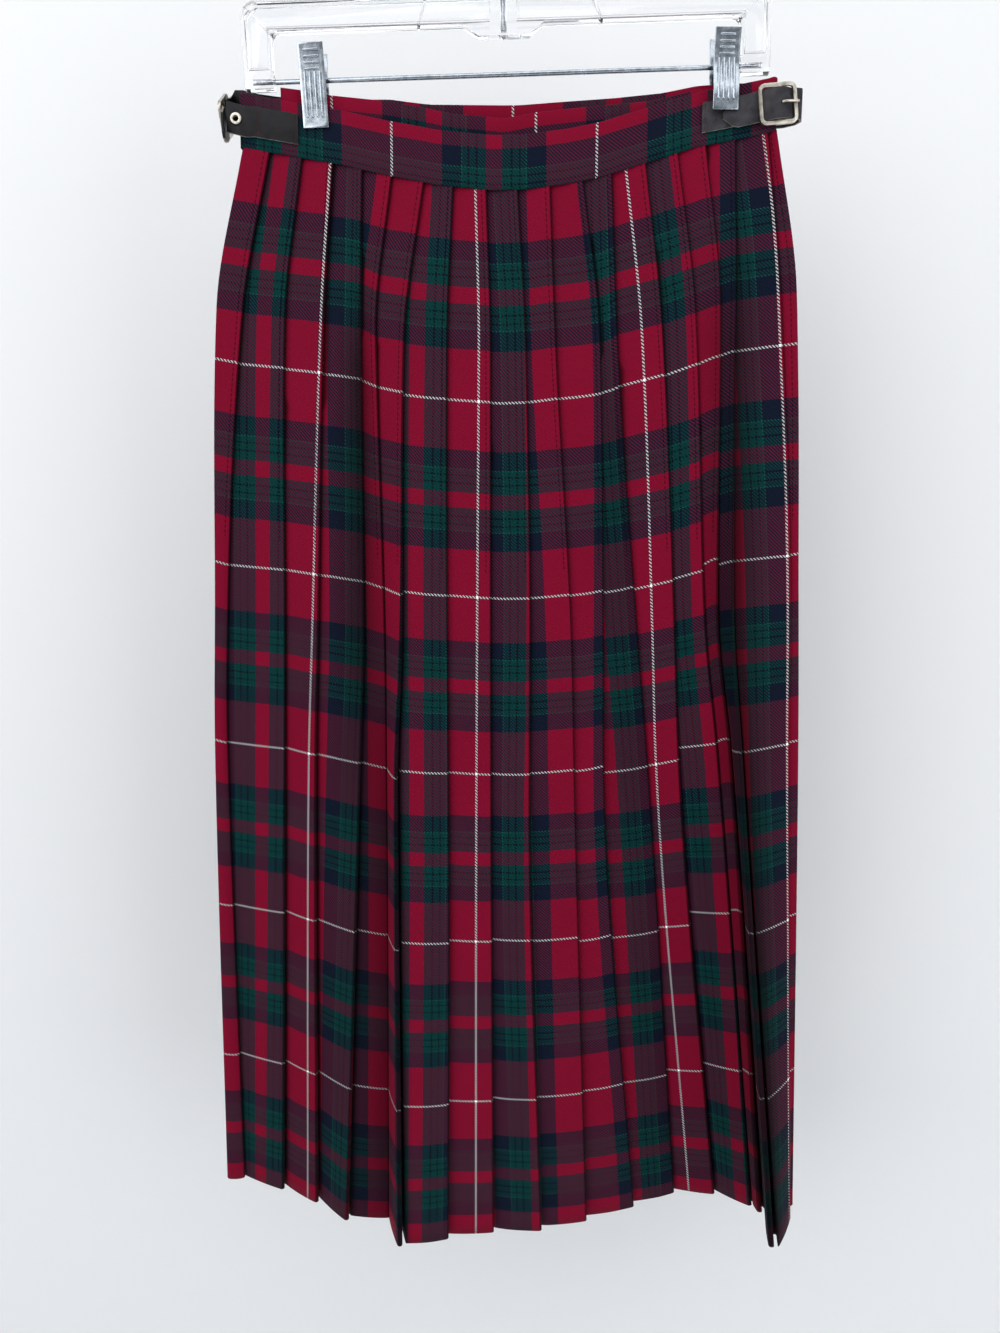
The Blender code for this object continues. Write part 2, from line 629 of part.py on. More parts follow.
# The right strap's run, millimetres: across, depth, height, half its height there, lean.
# It starts at its sewn end behind the outer apron and comes round the hip to the buckle
RIGHT_STRAP = (
    (166.5, 6.2, -129.8, 9.75, 0.0), (176.0, 7.9, -129.0, 9.75, 0.0), (187.0, 9.6, -128.0, 9.75, 0.0),
    (196.5, 9.6, -127.2, 9.75, 0.0), (202.9, 6.0, -126.8, 9.75, 0.0), (205.2, 0.6, -126.8, 9.75, 0.0),
    (203.6, -4.2, -127.0, 9.75, 0.0))

# Past the buckle it lies over the tab and ends in a tapered tip, the same columns
RIGHT_STRAP_END = (
    (168.0, -8.2, -131.8, 9.75, 0.6), (161.0, -7.7, -133.3, 9.75, 0.75), (157.0, -7.55, -134.1, 8.2, 0.6),
    (150.5, -7.4, -135.6, 2.0, 0.2))
RIGHT_BUCKLE = (186.7, -9.8, -128.9)
RIGHT_BUCKLE_TURN = math.radians(5.0)
RIGHT_BUCKLE_RISE = math.radians(7.0)

# The left strap's run in the same columns: here it climbs backwards through a buckle that faces the side
LEFT_STRAP = (
    (-142.5, 6.0, -129.5, 9.75, 0.0), (-155.0, 7.6, -127.5, 9.75, 0.0), (-167.0, 10.5, -125.0, 9.75, -0.5),
    (-177.0, 15.5, -121.0, 9.4, -2.0), (-184.5, 22.5, -118.5, 9.0, -3.8), (-187.3, 25.5, -120.0, 8.2, -5.2))
LEFT_STRAP_END = ((-187.0, -5.0, -141.7, 7.6, -5.3), (-185.9, -11.0, -146.3, 5.2, -3.6),
                  (-184.7, -17.0, -151.0, 1.6, -1.1))

# How a strap weaves through its buckle, millimetres: along the strap and out from the frame's middle.
# It runs inside both outer bars and outside the middle one.
STRAP_WEAVE = ((12.3, -2.2), (10.2, -2.1), (6.0, 0.5), (1.8, 2.1), (0.0, 2.2), (-1.8, 2.1), (-6.0, 0.5),
               (-10.2, -2.1), (-12.3, -2.2))
LEFT_BUCKLE = (-190.0, 11.2, -130.3)
LEFT_BUCKLE_RISE = math.radians(35.0)

# The left tab's free end beyond the waistband, the same columns
LEFT_TAB_RUN = ((-172.0, -8.0, -139.3, 9.75, 0.0), (-178.0, -8.1, -137.9, 9.75, 0.0),
                (-184.4, -8.2, -136.2, 9.75, 0.0))
EYELET_PLACE = (-178.0, -8.1, -137.9)


def stations(run):
    """Middle points and half-height vectors of a run."""
    return [(Vector((x, y, z)) * MM, Vector((0.0, lean, half)) * MM) for x, y, z, half, lean in run]


def woven(place, outward):
    """The stations of a strap inside its buckle."""
    up = place.to_3x3() @ Vector((0.0, 0.0, STRAP_HEIGHT / 2))
    return [(place @ Vector((u * MM, outward * w * MM, 0.0)), up) for u, w in STRAP_WEAVE]


def ribbon(name, line):
    """A strap standing on edge along its stations."""
    rows = [[middle + up * level for middle, up in line] for level in (1.0, 0.0, -1.0)]
    return wall(name, rows, STRAP_WALL, "leather")


def sewn_tab(name, across, run=()):
    """A tab made from the band's own points, moved out, with an optional free end."""
    rows = []
    for level in (1.0, 0.0, -1.0):
        share = BAND_MIDDLE + level * TAB_SHARE
        row = [band_point("near", x, share, STRAP_OUT) for x in across]
        row += [middle + up * level for middle, up in stations(run)]
        rows.append(row)
    return wall(name, rows, STRAP_WALL, "leather")


def drill(name, place, start, end, radius):
    """A round cutter between two points of a placed frame."""
    return cylinder(name, place @ Vector(start), place @ Vector(end), radius, 14, "leather")


def hip_closure(side, run, run_end, place, outward):
    """Strap, buckle and tongue of one hip. The strap is pierced where the tongue comes through."""
    strap = ribbon(side + "_strap", stations(run) + woven(place, outward) + stations(run_end))
    buckle(side + "_buckle_frame", place)
    line = [place @ Vector((u * MM, outward * w * MM, 0.0)) for u, w in TONGUE_LINE]
    tube(side + "_buckle_tongue", line, TONGUE_RADIUS, 8, "nickel")
    through = (TONGUE_HOLE, outward * -0.0012, 0.0), (TONGUE_HOLE, outward * 0.005, 0.0)
    cut(strap, [drill(side + "_tongue_hole", place, *through, HOLE_RADIUS)])


def hips():
    """The leather closures: the straps come round from the outer apron to tabs on the back waistband."""
    right = (Matrix.Translation(Vector(RIGHT_BUCKLE) * MM) @ Matrix.Rotation(RIGHT_BUCKLE_TURN, 4, "Z")
             @ Matrix.Rotation(-RIGHT_BUCKLE_RISE, 4, "Y"))
    sewn_tab("right_tab", spread(0.1367, 0.1790, 6))
    hip_closure("right", RIGHT_STRAP, RIGHT_STRAP_END, right, -1)
    left = (Matrix.Translation(Vector(LEFT_BUCKLE) * MM) @ Matrix.Rotation(math.radians(90.0), 4, "Z")
            @ Matrix.Rotation(-LEFT_BUCKLE_RISE, 4, "Y"))
    left_tab = sewn_tab("left_tab", spread(-0.1370, -0.1665, 5), LEFT_TAB_RUN)
    hip_closure("left", LEFT_STRAP, LEFT_STRAP_END, left, 1)
    ring_at = Vector(EYELET_PLACE) * MM
    face = ring_at.y - STRAP_WALL / 2 - SEAM_GAP
    ring = cylinder("left_eyelet", (ring_at.x, face, ring_at.z), (ring_at.x, face - 0.0009, ring_at.z),
                    EYELET_OUTER, 20, "nickel")
    bore = cylinder("eyelet_bore", (ring_at.x, face + 0.001, ring_at.z), (ring_at.x, face - 0.002, ring_at.z),
                    EYELET_INNER, 16, "nickel")
    cut(ring, [bore])
    hole = cylinder("eyelet_hole", (ring_at.x, -0.004, ring_at.z), (ring_at.x, -0.012, ring_at.z),
                    EYELET_INNER, 16, "leather")
    cut(left_tab, [hole])


def main():
    """Clears the scene and builds every piece."""
    for old in list(bpy.data.objects):
        bpy.data.objects.remove(old)
    tilt = bpy.data.objects.new("hanger_tilt", None)
    bpy.context.scene.collection.objects.link(tilt)
    tilt.rotation_euler = (0.0, -HANGER_TILT, 0.0)
    waistbands()
    pleated_back()
    aprons()
    hanger(tilt)
    clips()
    hips()


main()
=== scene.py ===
# %% [markdown]
# # A tartan kilt skirt on a clip hanger
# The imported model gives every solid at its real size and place. This lesson dresses it: the wool is laid
# again as fine folded cloth with its own woven pattern, and the leather, metal and clear plastic get
# their finish. Units are metres, +Z is up, and the camera looks along +Y at the pleated back.

# %% Load the frame
import math

import bmesh
import bpy
import numpy as np
from mathutils import Matrix, Vector


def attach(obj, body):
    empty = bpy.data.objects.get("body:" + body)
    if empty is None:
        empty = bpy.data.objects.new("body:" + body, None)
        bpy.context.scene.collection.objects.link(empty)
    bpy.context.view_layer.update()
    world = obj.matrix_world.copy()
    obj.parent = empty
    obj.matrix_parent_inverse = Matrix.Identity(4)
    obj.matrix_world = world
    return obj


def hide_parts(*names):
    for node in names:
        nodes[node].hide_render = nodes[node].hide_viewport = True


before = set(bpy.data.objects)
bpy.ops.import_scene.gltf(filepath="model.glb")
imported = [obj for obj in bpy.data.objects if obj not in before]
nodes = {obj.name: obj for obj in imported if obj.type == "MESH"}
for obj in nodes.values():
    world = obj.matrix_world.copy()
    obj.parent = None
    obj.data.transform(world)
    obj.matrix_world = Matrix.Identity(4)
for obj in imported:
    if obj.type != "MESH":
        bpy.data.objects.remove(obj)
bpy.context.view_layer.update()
MM = 0.001
print("nodes loaded:", len(nodes))

# %% [markdown]
# ## Helpers for finishes
# Every finish is a small tree of shader nodes. The trees could be laid out by hand, one link at a time, but
# these helpers add one node, feed one number or make one bump, so a material below reads as a short recipe.

# %% Node helpers
def add_node(tree, kind, **settings):
    """A node with its plain settings."""
    node = tree.nodes.new(kind)
    for name, value in settings.items():
        setattr(node, name, value)
    return node


def math_node(tree, operation, *values):
    """A math node fed by sockets or numbers, giving back its output."""
    node = add_node(tree, "ShaderNodeMath", operation=operation)
    for i, value in enumerate(values):
        if isinstance(value, (int, float)):
            node.inputs[i].default_value = value
        else:
            tree.links.new(value, node.inputs[i])
    return node.outputs[0]


def new_group(name, inputs, outputs):
    """A shader group with named sockets, each a name, a socket type and a start value."""
    group = bpy.data.node_groups.new(name, "ShaderNodeTree")
    for label, kind, value in inputs:
        socket = group.interface.new_socket(name=label, in_out="INPUT", socket_type=kind)
        if value is not None:
            socket.default_value = value
    for label, kind in outputs:
        group.interface.new_socket(name=label, in_out="OUTPUT", socket_type=kind)
    return group, group.nodes.new("NodeGroupInput"), group.nodes.new("NodeGroupOutput")


def new_material(name):
    """A fresh material, its node tree and its shader."""
    material = bpy.data.materials.new(name)
    material.use_nodes = True
    return material, material.node_tree, material.node_tree.nodes["Principled BSDF"]


def noise_node(tree, scale, place=None, detail=2.0):
    """Noise from 0 to 1 at a scale, read at a place."""
    noise = add_node(tree, "ShaderNodeTexNoise")
    noise.inputs["Scale"].default_value = scale
    noise.inputs["Detail"].default_value = detail
    if place is not None:
        tree.links.new(place, noise.inputs["Vector"])
    return noise.outputs["Fac"]


def scaled_colour(tree, colour, factor):
    """A colour, given as a socket or as three values, made lighter or darker by a factor."""
    scale = add_node(tree, "ShaderNodeVectorMath", operation="SCALE")
    if isinstance(colour, tuple):
        scale.inputs[0].default_value = colour
    else:
        tree.links.new(colour, scale.inputs[0])
    tree.links.new(factor, scale.inputs["Scale"])
    return scale.outputs["Vector"]


def bumped(tree, shader, height, distance, strength=0.4):
    """Feeds a height to the shader's normal."""
    bump = add_node(tree, "ShaderNodeBump")
    bump.inputs["Strength"].default_value = strength
    bump.inputs["Distance"].default_value = distance
    tree.links.new(height, bump.inputs["Height"])
    tree.links.new(bump.outputs["Normal"], shader.inputs["Normal"])


print("node helpers ready")

# %% [markdown]
# ## Camera
# The photograph was taken by a phone held level with the middle of the skirt and tipped down a little,
# so the hanger is seen a touch from below and the hem from above. A 26 mm lens on the long side of the
# frame gives the same perspective.

# %% Camera
CAMERA_PLACE = (0.0, -0.710, -0.395)
CAMERA_PITCH = math.radians(80.5)
CAMERA_LENS = 26.0
SENSOR_WIDTH = 36.0


def aim_camera():
    """Puts the scene's camera where the photographer stood."""
    data = bpy.data.cameras.new("photo_camera")
    data.lens = CAMERA_LENS
    data.sensor_width = SENSOR_WIDTH
    camera = bpy.data.objects.new("photo_camera", data)
    camera.location = CAMERA_PLACE
    camera.rotation_euler = (CAMERA_PITCH, 0.0, 0.0)
    bpy.context.scene.collection.objects.link(camera)
    bpy.context.scene.camera = camera


aim_camera()
print("camera lens:", CAMERA_LENS, "mm")

# %% [markdown]
# ## Light and room
# The skirt hangs in soft daylight with no hard shadow. Small strong lamps would make the pleats look like
# metal, so large rectangles light it from the left, from above and from the right, and a dim sky fills in
# from all round. The room is a plain pale wall with a floor far below.

# %% Light and room
# name, place, point it looks at, width, height, power
LAMPS = (
    ("window", (-1.3, -1.4, 0.2), (0.0, 0.0, -0.5), 1.8, 1.8, 28.0),
    ("ceiling", (0.3, -0.9, 1.2), (0.0, 0.0, -0.4), 2.0, 1.6, 16.0),
    ("fill", (1.5, -1.3, -0.5), (0.3, 0.0, -0.5), 1.6, 1.6, 17.0),
    ("back", (0.0, 2.2, 0.2), (0.0, 0.0, -0.5), 2.0, 2.0, 18.0),
)
# Place on the way up from level to overhead, and the room's light there
SKY = ((0.0, (0.20, 0.205, 0.22)), (0.6, (0.42, 0.44, 0.47)))
WALL_DEPTH = 0.22
WALL_COLOUR = (0.78, 0.79, 0.80, 1.0)
WALL_ROUGH = 0.85
ROOM_SIZE = 6.0
# name, middle, how far it is stood up
PLANES = (
    ("wall", (0.0, WALL_DEPTH, -0.4), math.radians(90.0)),
    ("floor", (0.0, -1.5, -1.75), 0.0),
)


def add_lamp(name, place, target, width, height, power):
    """A soft rectangular lamp that faces its target."""
    data = bpy.data.lights.new(name, "AREA")
    data.shape = "RECTANGLE"
    data.size = width
    data.size_y = height
    data.energy = power
    lamp = bpy.data.objects.new(name, data)
    lamp.location = place
    lamp.rotation_euler = (Vector(target) - Vector(place)).to_track_quat("-Z", "Y").to_euler()
    bpy.context.scene.collection.objects.link(lamp)


def wall_material():
    """Matt pale paint with the faintest unevenness."""
    paint, tree, shader = new_material("wall_paint")
    shader.inputs["Base Color"].default_value = WALL_COLOUR
    shader.inputs["Roughness"].default_value = WALL_ROUGH
    bumped(tree, shader, noise_node(tree, 260.0), distance=0.001, strength=0.05)
    return paint


def build_room():
    """The wall behind the hanger and the floor, neither of them part of the object."""
    paint = wall_material()
    for name, place, turn in PLANES:
        bpy.ops.mesh.primitive_plane_add(size=ROOM_SIZE, location=place, rotation=(turn, 0.0, 0.0))
        plane = bpy.context.object
        plane.name = name
        plane.data.materials.append(paint)


def build_sky():
    """Soft light from all round, a little brighter overhead."""
    world = bpy.data.worlds.new("pale_room")
    world.use_nodes = True
    tree = world.node_tree
    sky = add_node(tree, "ShaderNodeValToRGB")
    for stop, (place, colour) in zip(sky.color_ramp.elements, SKY):
        stop.position = place
        stop.color = (*colour, 1.0)
    direction = add_node(tree, "ShaderNodeTexCoord")
    height = add_node(tree, "ShaderNodeSeparateXYZ")
    tree.links.new(direction.outputs["Generated"], height.inputs[0])
    tree.links.new(height.outputs["Z"], sky.inputs["Fac"])
    tree.links.new(sky.outputs["Color"], tree.nodes["Background"].inputs["Color"])
    bpy.context.scene.world = world


for lamp in LAMPS:
    add_lamp(*lamp)
build_room()
build_sky()
bpy.context.scene.view_settings.view_transform = "Standard"
print("lamps:", len(LAMPS))

# %% [markdown]
# ## The woven pattern
# Tartan is woven, not printed: the same run of coloured threads, the sett, lies along and across the
# cloth, and in a two-and-two twill each point shows either the lengthwise or the crosswise thread.
# So one group works in the cloth's own coordinates, in millimetres: it reads the sett for each
# direction from a colour ramp that folds back at the white pivot and at the narrow red one, and a
# diagonal rib picks which thread lies on top. That gives the half-tone checks with their slanted
# hatching for free.

# %% The sett
WARP_REPEAT = 139.0
WEFT_REPEAT = 136.5
TWILL_PERIOD = 2.4
# How far the rib's wave rises or falls while one thread gives way to the other
THREAD_EDGE = 0.5
# Painted shade: how much darker the wool is painted in the grooves between its ribs
GROOVE_SHADE = 0.5
FIBRE_SCALE = 900.0
CLOUD_SCALE = 14.0
# How strongly each noise acts, and the value that it is added to
FIBRE_LIGHT = (0.5, 0.75)
CLOUD_LIGHT = (0.16, 0.92)
FIBRE_ROUGH = (0.18, 0.72)
# How much the ribs, the twist of the thread and its loose fibres each raise the surface
WAVE_HEIGHT = 0.65
TWIST_HEIGHT = 0.35
FIBRE_HEIGHT = 0.8
# Painted shade: how much darker the wool is painted where its two threads differ in colour, as the shade
# between round threads
MIXED_THREAD_SHADE = 0.56
# The bluish cast of the two threads seen together
CONTRAST_CAST = (0.0, 0.0055, 0.0125)
RED = (0.165, 0.0020, 0.018)
NAVY = (0.0030, 0.0060, 0.016)
GREEN = (0.0010, 0.027, 0.026)
WHITE = (1.0, 0.92, 0.92)
LIGHT_GREEN = (0.004, 0.055, 0.045)
DARK = (0.001, 0.004, 0.007)
# Distance from the white pivot where each stripe begins, and its colour
SETT = (
    (0.0, WHITE), (0.68, RED), (34.0, NAVY), (47.0, LIGHT_GREEN), (48.0, GREEN), (51.5, DARK),
    (52.6, GREEN), (57.0, DARK), (58.1, GREEN), (63.8, RED))


def sett_ramp(tree, distance):
    """The stripe colour at a distance from the white pivot, given as a share of the half repeat."""
    ramp = add_node(tree, "ShaderNodeValToRGB")
    ramp.color_ramp.interpolation = "CONSTANT"
    stops = ramp.color_ramp.elements
    for number, (start, colour) in enumerate(SETT):
        place = start / (WARP_REPEAT / 2)
        stop = stops[0] if number == 0 else stops[1] if number == 1 else stops.new(place)
        stop.position = place
        stop.color = (*colour, 1.0)
    tree.links.new(distance, ramp.inputs["Fac"])
    return ramp.outputs["Color"]


def tartan_group():
    """Cloth coordinates in metres and a shade in, woven colour with painted shade, rib height and roughness
    out.
    """
    group, inside, out = new_group(
        "tartan_weave", [("Cloth", "NodeSocketVector", None), ("Shade", "NodeSocketFloat", 1.0)],
        [("Color", "NodeSocketColor"), ("Height", "NodeSocketFloat"), ("Rough", "NodeSocketFloat")])
    cloth = inside.outputs["Cloth"]
    shade = inside.outputs["Shade"]
    split = add_node(group, "ShaderNodeSeparateXYZ")
    group.links.new(cloth, split.inputs[0])
    across = math_node(group, "MULTIPLY", split.outputs["X"], 1 / MM)
    along = math_node(group, "MULTIPLY", split.outputs["Y"], 1 / MM)

    # The two threads at this point, and how red each is
    threads = []
    reds = []
    for line in (across, math_node(group, "MULTIPLY", along, WARP_REPEAT / WEFT_REPEAT)):
        folded = math_node(group, "PINGPONG", line, WARP_REPEAT / 2)
        threads.append(sett_ramp(group, math_node(group, "DIVIDE", folded, WARP_REPEAT / 2)))
        parts = add_node(group, "ShaderNodeSeparateColor")
        group.links.new(threads[-1], parts.inputs["Color"])
        reds.append(parts.outputs["Red"])

    # The diagonal rib picks the thread on top
    slant = math_node(group, "DIVIDE", math_node(group, "SUBTRACT", across, along), TWILL_PERIOD)
    wave = math_node(group, "SINE", math_node(group, "MULTIPLY", slant, 2 * math.pi))
    twist = math_node(group, "SINE", math_node(
        group, "MULTIPLY", math_node(group, "ADD", across, along), 2 * math.pi / (TWILL_PERIOD / 2)))
    top = add_node(group, "ShaderNodeMapRange", interpolation_type="SMOOTHSTEP")
    top.inputs["From Min"].default_value = -THREAD_EDGE
    top.inputs["From Max"].default_value = THREAD_EDGE
    group.links.new(wave, top.inputs["Value"])
    woven = add_node(group, "ShaderNodeMix", data_type="RGBA")
    group.links.new(top.outputs["Result"], woven.inputs["Factor"])
    group.links.new(threads[0], woven.inputs["A"])
    group.links.new(threads[1], woven.inputs["B"])

    # Painted shade in the grooves between ribs, then loose fibres and the cloth's own cloudiness
    fibres = noise_node(group, FIBRE_SCALE, cloth, detail=3.0)
    groove_shade = math_node(group, "POWER", math_node(
        group, "SUBTRACT", 1.0, math_node(group, "ABSOLUTE", wave)), 2.0)
    light = math_node(group, "MULTIPLY_ADD", groove_shade, -GROOVE_SHADE, 1.0 + GROOVE_SHADE / 3)
    clouds = noise_node(group, CLOUD_SCALE, cloth)
    for noise, strength in ((fibres, FIBRE_LIGHT), (clouds, CLOUD_LIGHT)):
        light = math_node(group, "MULTIPLY", light, math_node(group, "MULTIPLY_ADD", noise, *strength))

    # Where the threads differ, painted shade between the round threads darkens the colour, and it is given a
    # bluer tone
    apart = math_node(group, "MINIMUM", math_node(group, "MULTIPLY", math_node(
        group, "ABSOLUTE", math_node(group, "SUBTRACT", *reds)), 1.0 / RED[0]), 1.0)
    mixed_shade = math_node(group, "MULTIPLY_ADD", apart, -MIXED_THREAD_SHADE, 1.0)
    dyed = scaled_colour(group, woven.outputs["Result"], math_node(
        group, "MULTIPLY", light, math_node(group, "MULTIPLY", shade, mixed_shade)))
    cast = scaled_colour(group, CONTRAST_CAST, math_node(group, "MULTIPLY", apart, shade))
    seen = add_node(group, "ShaderNodeVectorMath", operation="ADD")
    group.links.new(dyed, seen.inputs[0])
    group.links.new(cast, seen.inputs[1])
    group.links.new(seen.outputs["Vector"], out.inputs["Color"])
    ribs = math_node(
        group, "MULTIPLY_ADD", twist, TWIST_HEIGHT, math_node(group, "MULTIPLY", wave, WAVE_HEIGHT))
    group.links.new(math_node(group, "MULTIPLY_ADD", fibres, FIBRE_HEIGHT, ribs), out.inputs["Height"])
    group.links.new(math_node(group, "MULTIPLY_ADD", fibres, *FIBRE_ROUGH), out.inputs["Rough"])
    return group


TARTAN = tartan_group()
print("stripes in the sett:", len(SETT))

# %% [markdown]
# ## Wool
# Kilt wool is firm, with next to no shine. Its colour, ribs and roughness all come from the weave's group,
# so the pattern and its relief always agree. The mesh carries two marks that it reads as well: how deep a
# point lies in a crease or in a valley between pleats, which is painted on the wool as shade, and how far
# it is from a fold, because a row of stitches runs just inside each pleat's edge. Drawn in the finish,
# those stitches need no mesh.

# %% Wool
# Painted shade: the wool is darkened by up to this share where a point lies deep in a crease or a valley
PAINTED_CREASE_SHADE = 0.75
# The row of stitches is this far in from the fold and reaches this far to each side, in metres
EDGE_STITCH_IN = 0.0022
EDGE_STITCH_HALF = 0.0004
EDGE_STITCH_PITCH = 0.0034
# Share of the pitch that lies open between two stitches
EDGE_STITCH_OPEN = 0.34
EDGE_STITCH_DARK = 0.62


def wool_material(name):
    """Woven wool that reads the cloth's own coordinates, its painted crease shade and its distance to a fold.
    """
    wool, tree, shader = new_material(name)
    cloth = add_node(tree, "ShaderNodeUVMap", uv_map="cloth").outputs["UV"]
    crease_shade = add_node(tree, "ShaderNodeAttribute", attribute_name="crease_shade").outputs["Fac"]
    fold_gap = add_node(tree, "ShaderNodeAttribute", attribute_name="fold_gap").outputs["Fac"]
    split = add_node(tree, "ShaderNodeSeparateXYZ")
    tree.links.new(cloth, split.inputs[0])
    # Painted shade from the mesh's crease mark
    lit = math_node(tree, "MULTIPLY_ADD", crease_shade, -PAINTED_CREASE_SHADE, 1.0)
    near = math_node(tree, "COMPARE", fold_gap, EDGE_STITCH_IN, EDGE_STITCH_HALF)
    half = EDGE_STITCH_PITCH / 2
    dash = math_node(tree, "GREATER_THAN", math_node(
        tree, "PINGPONG", split.outputs["Y"], half), half * EDGE_STITCH_OPEN)
    sewn = math_node(tree, "MULTIPLY_ADD", math_node(tree, "MULTIPLY", near, dash), -EDGE_STITCH_DARK, 1.0)
    weave = add_node(tree, "ShaderNodeGroup", node_tree=TARTAN)
    tree.links.new(math_node(tree, "MULTIPLY", lit, sewn), weave.inputs["Shade"])
    tree.links.new(cloth, weave.inputs["Cloth"])
    tree.links.new(weave.outputs["Color"], shader.inputs["Base Color"])
    tree.links.new(weave.outputs["Rough"], shader.inputs["Roughness"])
    bumped(tree, shader, weave.outputs["Height"], distance=0.0002, strength=0.35)
    shader.inputs["Sheen Weight"].default_value = 0.01
    shader.inputs["Sheen Roughness"].default_value = 0.4
    shader.inputs["Specular IOR Level"].default_value = 0.06
    return wool


WOOL = wool_material("tartan_wool")
print("wool:", WOOL.name)

# %% [markdown]
# ## Sizes of the cloth
# These are the garment's own measures, the same ones its solids were built from. A row says where a
# pleat's fold edge lies at five heights below the waist seam, so the folds fan out and curve as the
# skirt hangs.

# %% Tables
BAND_HEIGHT = 35.5
BAND_WALL = 2.0
CLOTH_WALL = 0.9
CAD_WALL = 1.0
SKIRT_DROP = 802.0
PLEAT_CLOTH = 56.8
FELL_DEPTH = 155.0
PITCH_SEWN = 1.45
PITCH_HEM = 3.4
SIDE_CORNER = 2.2
# Share of the gap between two layers that a side corner may take up
CORNER_SHARE = 0.4
FOLD_CLEARANCE = 1.6
SEAM_TUCK = 1.2
# Distance below the seam, and the weft reading there: steam and hanging have eased the cloth a little
WEFT_PLACES = ((-5.0, -0.5), (0.0, 1.2), (138.0, 136.5), (280.5, 273.0), (415.5, 409.5), (551.0, 546.0),
               (684.5, 682.5), (802.0, 801.0))
# Strip number, then how much lower the weft lies there at five heights below the seam
STRIP_EASE_AT = (138.0, 280.0, 415.0, 551.0, 684.0)
STRIP_EASE = (
    (0, -1.0, 0.0, 1.5, 1.0, 0.0), (6, 0.5, 0.0, 1.5, 1.0, 0.0), (7, 2.0, -2.0, -4.0, -4.5, -2.0),
    (9, 2.0, -2.0, -4.0, -5.5, -2.0), (10, 1.5, -2.0, -4.0, -3.0, -1.0), (11, 1.5, -1.0, -1.5, 3.0, 1.0),
    (12, 1.0, 1.0, 5.0, 8.0, 4.0), (13, 0.0, 3.5, 6.0, 7.0, 2.0), (14, 0.0, 3.0, -3.0, -3.0, -3.0),
    (15, 0.0, -1.0, -3.0, -4.0, -3.0), (16, 0.0, 4.0, 7.0, 7.0, 0.0), (19, 0.0, 4.0, 7.0, 7.0, 0.0))
# Across, height of the waist seam
WAIST_SEAM = (
    (-176.0, -155.0), (-138.0, -161.0), (-107.0, -166.2), (-76.0, -173.6), (-42.0, -180.2), (-4.0, -184.0),
    (15.6, -183.4), (45.6, -179.6), (68.7, -175.0), (97.2, -166.2), (134.0, -154.6), (187.0, -145.0))
# Across, height of the top edge of the two bands behind
UNDER_TOP = (
    (-149.0, -115.0), (-134.0, -116.8), (-114.6, -120.0), (-75.5, -123.7), (-53.0, -127.4), (-33.0, -131.3),
    (3.4, -134.4), (24.3, -130.6), (56.7, -127.4), (100.6, -123.7), (133.0, -116.8), (187.0, -110.5))
OUTER_TOP = (
    (-176.0, -120.0), (-120.0, -122.0), (-75.5, -120.5), (-48.0, -123.2), (13.5, -123.2), (36.5, -121.6),
    (74.0, -119.3), (110.6, -116.8), (134.0, -113.0), (182.0, -110.5))
# Across, then the depth of the near, under and outer layer at the top edge, then at the seam
LAYER_DEPTHS = (
    (-176.0, -3.2, 0.0, 3.8, -5.8, 0.8, 5.6), (-155.0, -2.8, 0.0, 3.2, -5.6, 0.8, 5.4),
    (-139.0, -2.6, 0.0, 2.6, -5.5, 1.0, 5.0), (-114.0, -2.6, 0.0, 2.6, -5.5, 1.0, 5.0),
    (-60.0, -7.5, 0.3, 6.5, -9.0, 1.0, 8.0), (0.0, -10.0, 0.0, 8.0, -11.5, 1.0, 9.0),
    (80.0, -8.0, 0.0, 7.0, -9.5, 1.0, 8.0), (139.0, -2.6, 0.0, 2.6, -5.5, 1.2, 5.0),
    (165.0, -2.6, 0.0, 2.6, -5.5, 1.2, 5.0), (187.0, -3.2, 2.2, 5.0, -6.0, 3.0, 7.0))
LAYERS = {"near": (1, 4), "under": (2, 5), "outer": (3, 6)}
# Distances below the seam where the fold edges are placed
FOLD_STATIONS = (0.0, 103.0, 320.0, 422.0, 802.0)
